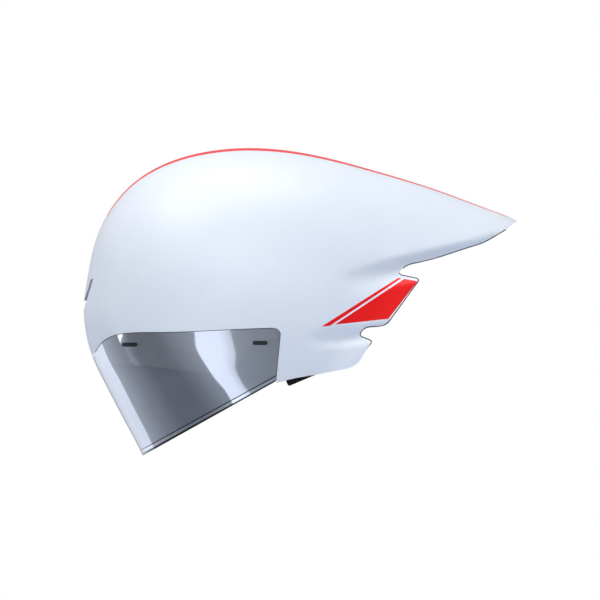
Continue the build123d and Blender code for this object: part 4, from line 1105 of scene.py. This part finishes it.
def nodes_tree(name, inputs):
    """An empty geometry node tree with a mesh in, a mesh out and named inputs."""
    tree = bpy.data.node_groups.new(name, "GeometryNodeTree")
    tree.interface.new_socket("Geometry", in_out="INPUT", socket_type="NodeSocketGeometry")
    for socket, kind, value in inputs:
        made = tree.interface.new_socket(socket, in_out="INPUT", socket_type="NodeSocket" + kind)
        if value is not None:
            made.default_value = value
    tree.interface.new_socket("Geometry", in_out="OUTPUT", socket_type="NodeSocketGeometry")
    return tree, tree.nodes.new("NodeGroupInput"), tree.nodes.new("NodeGroupOutput")


def grown(piece, tree, **inputs):
    """Runs a geometry node tree on a piece and keeps the plain mesh that it makes."""
    growth = piece.modifiers.new(tree.name, "NODES")
    growth.node_group = tree
    for item in tree.interface.items_tree:
        if item.item_type == "SOCKET" and item.in_out == "INPUT" and item.name.replace(" ", "_") in inputs:
            growth[item.identifier] = inputs[item.name.replace(" ", "_")]
    bpy.context.view_layer.update()
    return settle(piece)


fixed_screws, screws_in, screws_out = nodes_tree(
    "fixed_screws", [("Screw", "Object", None), ("Finish", "Material", None)],
)
screw_source = place_node(fixed_screws, "GeometryNodeObjectInfo", {"Object": screws_in.outputs["Screw"]})
screw_turns = place_node(fixed_screws, "FunctionNodeRandomValue", {2: 0.0, 3: 1.0}, data_type="FLOAT")
screw_turn = place_node(fixed_screws, "ShaderNodeCombineXYZ", {0: screw_turns.outputs[1]})
screw_copies = place_node(fixed_screws, "GeometryNodeInstanceOnPoints", {
    "Points": screws_in.outputs["Geometry"], "Instance": screw_source.outputs["Geometry"],
    "Rotation": screw_turn.outputs[0],
})
screw_real = place_node(fixed_screws, "GeometryNodeRealizeInstances", {0: screw_copies.outputs[0]})
screw_coated = place_node(fixed_screws, "GeometryNodeSetMaterial", {
    0: screw_real.outputs[0], 2: screws_in.outputs["Finish"],
})
fixed_screws.links.new(screw_coated.outputs[0], screws_out.inputs[0])

screw_steel, steel_tree, steel_shader = finish("turned_steel", Metallic=1.0)
steel_place = put(steel_tree, "TexCoord").outputs["Object"]
turned_map = put(steel_tree, "Mapping", {"Vector": steel_place, "Scale": (400, 2600, 2600)})
turned_marks = put(steel_tree, "TexNoise", {"Vector": turned_map.outputs[0], "Scale": 1.0, "Detail": 3.0})
steel_rough = ranged(steel_tree, turned_marks.outputs[0], (0, 1), (0.22, 0.46))
steel_tree.links.new(steel_rough.outputs[0], steel_shader.inputs["Roughness"])
steel_stops = [(0.0, (0.36, 0.36, 0.38, 1)), (1.0, (0.62, 0.62, 0.64, 1))]
steel_colour = ramped(steel_tree, turned_marks.outputs[0], steel_stops)
steel_tree.links.new(steel_colour.outputs[0], steel_shader.inputs["Base Color"])

screw_ys = (screw_low[1] + screw_head, screw_high[1] - screw_head)
screw_zs = (screw_low[2] + screw_head, screw_high[2] - screw_head)
screw_mesh = bpy.data.meshes.new("lid_screws")
screw_mesh.from_pydata([(screw_high[0], y, z) for y in screw_ys for z in screw_zs], [], [])
lid_screws = bpy.data.objects.new("lid_screws", screw_mesh)
bpy.context.scene.collection.objects.link(lid_screws)
grown(lid_screws, fixed_screws, Screw=screw_blank, Finish=screw_steel)
bpy.data.objects.remove(screw_blank)
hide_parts("housing_screws")
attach(lid_screws, "drive_housing")


# Dial
# A scalloped knob in red rubber moulded over nylon, matt, with dust and skin
# polish in its grip.
dial_grip, grip_tree, grip_shader = finish("red_rubber_grip", Specular_IOR_Level=0.4)
grip_place = put(grip_tree, "TexCoord").outputs["Object"]
grip_dots = put(grip_tree, "TexVoronoi", {"Vector": grip_place, "Scale": 900.0})
grip_wear = put(grip_tree, "TexNoise", {"Vector": grip_place, "Scale": 120.0, "Detail": 4.0})
grip_stops = [(0.3, (0.33, 0.008, 0.012, 1)), (0.75, (0.52, 0.02, 0.025, 1))]
grip_colour = ramped(grip_tree, grip_wear.outputs[0], grip_stops)
grip_tree.links.new(grip_colour.outputs[0], grip_shader.inputs["Base Color"])
grip_rough = ranged(grip_tree, grip_wear.outputs[0], (0, 1), (0.55, 0.8))
grip_tree.links.new(grip_rough.outputs[0], grip_shader.inputs["Roughness"])
bumped(grip_tree, grip_shader, grip_dots.outputs["Distance"], 0.25)
coat_with(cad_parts["dial_knob"], dial_grip)


# Buckle
# A side-release buckle in acetal, smoother and glossier than the nylon, with
# polish where fingers press.
buckle_acetal = moulded("black_acetal", (0.018, 0.018, 0.02), 0.30, 1500.0, 0.3, 0.06)
for node in ("buckle_socket", "buckle_plug"):
    coat_with(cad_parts[node], buckle_acetal)


# Straps
# Flat woven polyester webbing with a thicker selvedge, from the buttons to the
# dividers and from there to the buckle, sewn with black thread near the buttons
# and at both ends of each chin strap.
webbing, web_tree, web_shader = finish(
    "woven_webbing", Sheen_Weight=0.2, Sheen_Roughness=0.4, Specular_IOR_Level=0.3,
)
web_map = put(web_tree, "UVMap", uv_map="weave")
web_axes = put(web_tree, "SeparateXYZ", {0: web_map.outputs[0]})
yarn = 0.0007


def ridged(tree, value, pitch):
    """A row of rounded ridges, 0 to 1, along a value in metres."""
    share = worked(tree, "MULTIPLY", value, math.pi / pitch)
    wave = worked(tree, "SINE", share.outputs[0])
    return worked(tree, "ABSOLUTE", wave.outputs[0]).outputs[0]


mirrored_across = worked(web_tree, "ABSOLUTE", web_axes.outputs[1]).outputs[0]
chevron = worked(web_tree, "ADD", web_axes.outputs[0], mirrored_across).outputs[0]
twill = ridged(web_tree, chevron, 2 * yarn)
warp = ridged(web_tree, web_axes.outputs[1], yarn)
weave_height = worked(web_tree, "MULTIPLY", twill, warp).outputs[0]
web_place = put(web_tree, "TexCoord").outputs["Object"]
fibre = put(web_tree, "TexNoise", {"Vector": web_place, "Scale": 1600.0, "Detail": 2.0})
# The weave's height times fibre noise drives both the bump and the colour: darker in the hollows between
# yarns and lighter on their crests, a painted shade and painted highlight.
weave_relief_and_shade = worked(web_tree, "MULTIPLY", weave_height, fibre.outputs[0])
web_stops = [(0.0, (0.008, 0.008, 0.010, 1)), (0.55, (0.055, 0.055, 0.062, 1))]
web_colour = ramped(web_tree, weave_relief_and_shade.outputs[0], web_stops)
web_tree.links.new(web_colour.outputs[0], web_shader.inputs["Base Color"])
web_rough = ranged(web_tree, weave_height, (0, 1), (0.85, 0.6))
web_tree.links.new(web_rough.outputs[0], web_shader.inputs["Roughness"])
bumped(web_tree, web_shader, weave_relief_and_shade.outputs[0], 0.5)

strap_half, strap_wall = 0.007, 0.0015
web_deep = 0.42
selvedge = [(1, 0.30), (0.985, 0.46), (0.93, 0.50), (0.88, web_deep), (0.45, web_deep)]
divider = np.array([head_centre[0] + 0.025, 0.66 * helmet_half_width, 0.082 * helmet_height])


def strap_section(middle, across, facing):
    """One webbing section: flat, with a rounded, slightly thicker selvedge."""
    lower = [(-share, -deep) for share, deep in selvedge] + [(0, -web_deep)]
    lower += [(share, -deep) for share, deep in selvedge[::-1]]
    line = lower + [(-share, -deep) for share, deep in lower]
    return [middle + across * (share * strap_half) + facing * (deep * strap_wall) for share, deep in line]


def unit(vector):
    """A vector scaled to length 1."""
    return vector / np.linalg.norm(vector)


sewn_thread, sewn_in, sewn_out = nodes_tree("sewn_thread", [
    ("Pitch", "Float", 0.0022), ("Stitch length", "Float", 0.0015), ("Thread", "Float", 0.00022),
    ("Finish", "Material", None),
])
seam_curve = place_node(sewn_thread, "GeometryNodeMeshToCurve", {"Mesh": sewn_in.outputs["Geometry"]})
seam_points = place_node(sewn_thread, "GeometryNodeCurveToPoints", {
    "Curve": seam_curve.outputs[0], "Length": sewn_in.outputs["Pitch"],
}, mode="LENGTH")
half_stitch, stitch_rise, stitch_start = (
    place_node(sewn_thread, "ShaderNodeMath", {0: sewn_in.outputs[size], 1: share}, operation="MULTIPLY")
    for size, share in (("Stitch length", 0.5), ("Thread", 1.6), ("Stitch length", -0.5))
)
start_point = place_node(sewn_thread, "ShaderNodeCombineXYZ", {0: stitch_start.outputs[0]})
crest_point = place_node(sewn_thread, "ShaderNodeCombineXYZ", {2: stitch_rise.outputs[0]})
end_point = place_node(sewn_thread, "ShaderNodeCombineXYZ", {0: half_stitch.outputs[0]})
stitch_arc = place_node(sewn_thread, "GeometryNodeCurveQuadraticBezier", {
    "Resolution": 4, "Start": start_point.outputs[0], "Middle": crest_point.outputs[0],
    "End": end_point.outputs[0],
})
thread_round = place_node(sewn_thread, "GeometryNodeCurvePrimitiveCircle", {
    "Resolution": 6, "Radius": sewn_in.outputs["Thread"],
})
stitch_mesh = place_node(sewn_thread, "GeometryNodeCurveToMesh", {
    "Curve": stitch_arc.outputs[0], "Profile Curve": thread_round.outputs[0], "Fill Caps": True,
})
facing_name = place_node(
    sewn_thread, "GeometryNodeInputNamedAttribute", {"Name": "facing"}, data_type="FLOAT_VECTOR",
)
turn_along = place_node(
    sewn_thread, "FunctionNodeAlignRotationToVector", {"Vector": seam_points.outputs["Tangent"]}, axis="X",
)
turn_out = place_node(sewn_thread, "FunctionNodeAlignRotationToVector", {
    "Rotation": turn_along.outputs[0], "Vector": facing_name.outputs[0],
}, axis="Z", pivot_axis="X")
stitch_copies = place_node(sewn_thread, "GeometryNodeInstanceOnPoints", {
    "Points": seam_points.outputs["Points"], "Instance": stitch_mesh.outputs[0],
    "Rotation": turn_out.outputs[0],
})
stitch_real = place_node(sewn_thread, "GeometryNodeRealizeInstances", {0: stitch_copies.outputs[0]})
stitch_coated = place_node(sewn_thread, "GeometryNodeSetMaterial", {
    0: stitch_real.outputs[0], 2: sewn_in.outputs["Finish"],
})
sewn_thread.links.new(stitch_coated.outputs[0], sewn_out.inputs[0])

thread_nylon, thread_tree, thread_shader = finish("bonded_nylon_thread", Sheen_Weight=0.1)
thread_place = put(thread_tree, "TexCoord").outputs["Object"]
thread_twist = put(thread_tree, "TexNoise", {"Vector": thread_place, "Scale": 4000.0, "Detail": 1.0})
thread_stops = [(0.0, (0.03, 0.03, 0.035, 1)), (1.0, (0.13, 0.13, 0.14, 1))]
thread_colour = ramped(thread_tree, thread_twist.outputs[0], thread_stops)
thread_tree.links.new(thread_colour.outputs[0], thread_shader.inputs["Base Color"])
thread_rough = ranged(thread_tree, thread_twist.outputs[0], (0, 1), (0.4, 0.65))
thread_tree.links.new(thread_rough.outputs[0], thread_shader.inputs["Roughness"])


def sewn(name, seams):
    """Real stitches along seams, each a list of (point, facing) pairs."""
    points, facings, edges = [], [], []
    for seam in seams:
        edges += [(len(points) + i, len(points) + i + 1) for i in range(len(seam) - 1)]
        points += [tuple(point) for point, facing in seam]
        facings += [tuple(facing) for point, facing in seam]
    mesh = bpy.data.meshes.new(name)
    mesh.from_pydata(points, edges, [])
    layer = mesh.attributes.new("facing", "FLOAT_VECTOR", "POINT")
    layer.data.foreach_set("vector", np.array(facings, float).ravel())
    piece = bpy.data.objects.new(name, mesh)
    bpy.context.scene.collection.objects.link(piece)
    grown(piece, sewn_thread, Pitch=0.0021, Stitch_length=0.0016, Thread=0.0002, Finish=thread_nylon)
    piece.data.polygons.foreach_set("use_smooth", [True] * len(piece.data.polygons))
    return piece


def sewn_box(middle_at, across_at, facing_at, first, last):
    """The seams of one sewn end: two lines along the strap and one across at each side, on both faces."""
    def sewn_point(t, share, deep):
        place = middle_at(t) + across_at(t) * share * strap_half + facing_at(t) * deep * web_deep * strap_wall
        return (place, facing_at(t) * deep)

    seams = []
    for deep in (-1, 1):
        for edge in (-0.72, 0.72):
            seams.append([sewn_point(t, edge, deep) for t in np.linspace(first, last, 7)])
        for t in (first, last):
            seams.append([sewn_point(t, share, deep) for share in np.linspace(-0.68, 0.68, 5)])
    return seams


button_height = 0.120 * helmet_height
button_clear, strap_sag, divider_offset = 0.00305, 0.0004, 0.00265
sideways_out = np.array([0.0, 1.0, 0.0])
for side, turn in (("left", -1), ("right", 1)):
    flip = np.array([1.0, turn, 1.0])
    for which, offset, toward in (("front", -0.003, -1), ("rear", 0.062, 1)):
        wall_y = head_axes[1] * math.sqrt(1 - (offset / head_axes[0]) ** 2)
        start_wall = np.array([head_centre[0] + offset, wall_y, button_height])
        wall_out = unit(np.array([offset / head_axes[0] ** 2, start_wall[1] / head_axes[1] ** 2, 0]))
        start = start_wall - wall_out * button_clear
        end = divider + np.array([toward * (strap_half + strap_wall), -toward * divider_offset, strap_wall])
        travel = unit(end - start)
        first_across, last_across = unit(np.cross(wall_out, travel)), unit(np.cross(sideways_out, travel))

        def middle_at(t, start=start, end=end, out=wall_out):
            return (start + (end - start) * t - out * strap_sag * math.sin(math.pi * t)) * flip

        def across_at(t, a=first_across, b=last_across):
            return unit(a + (b - a) * t) * flip

        def facing_at(t, a=wall_out):
            return unit(a + (sideways_out - a) * t) * flip

        rows = [strap_section(middle_at(t), across_at(t), facing_at(t)) for t in np.linspace(0, 1, 40)]
        strap = strip(f"{which}_webbing_{side}", rows)
        smooth_with_edges(strap, 50.0)
        coat_with(strap, webbing)
        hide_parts(f"{which}_strap_{side}")
        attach(strap, "helmet")
        seams = sewn(f"{which}_strap_seams_{side}", sewn_box(middle_at, across_at, facing_at, 0.12, 0.42))
        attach(seams, "helmet")

divider_half_height, divider_clear, buckle_level = 0.0075, 0.0003, 0.0095
for side, turn, inner_end in (("left", -1, 0.0203), ("right", 1, 0.0116)):
    low_edge = divider[2] - divider_half_height - divider_clear - strap_wall
    rise = low_edge - buckle_level
    bend = [
        (divider[1], low_edge), (divider[1] - 0.015, buckle_level + rise / 2),
        (divider[1] - 0.030, buckle_level + rise / 6), (inner_end, buckle_level),
    ]
    spread = np.concatenate([[0], np.cumsum([math.dist(a, b) for a, b in zip(bend, bend[1:])])])
    y_of, z_of = flowing(spread, [b[0] for b in bend]), flowing(spread, [b[1] for b in bend])

    def middle_at(t):
        return np.array([divider[0], turn * float(y_of(t * spread[-1])), float(z_of(t * spread[-1]))])

    def across_at(t):
        return np.array([1.0, 0.0, 0.0])

    def facing_at(t):
        step = middle_at(min(t + 0.01, 1)) - middle_at(max(t - 0.01, 0))
        return unit(np.cross(across_at(t), step)) * (-1 if turn > 0 else 1)

    rows = [strap_section(middle_at(t), across_at(t), facing_at(t)) for t in np.linspace(0, 1, 60)]
    strap = strip("chin_webbing_" + side, rows)
    smooth_with_edges(strap, 50.0)
    coat_with(strap, webbing)
    buckle_seams = sewn_box(middle_at, across_at, facing_at, 0.70, 0.93)
    divider_seams = sewn_box(middle_at, across_at, facing_at, 0.05, 0.22)
    seams = sewn("chin_strap_seams_" + side, buckle_seams + divider_seams)
    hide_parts("chin_strap_" + side)
    for piece in (strap, seams):
        if turn < 0:
            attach(piece, "helmet")
        else:
            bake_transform(piece)
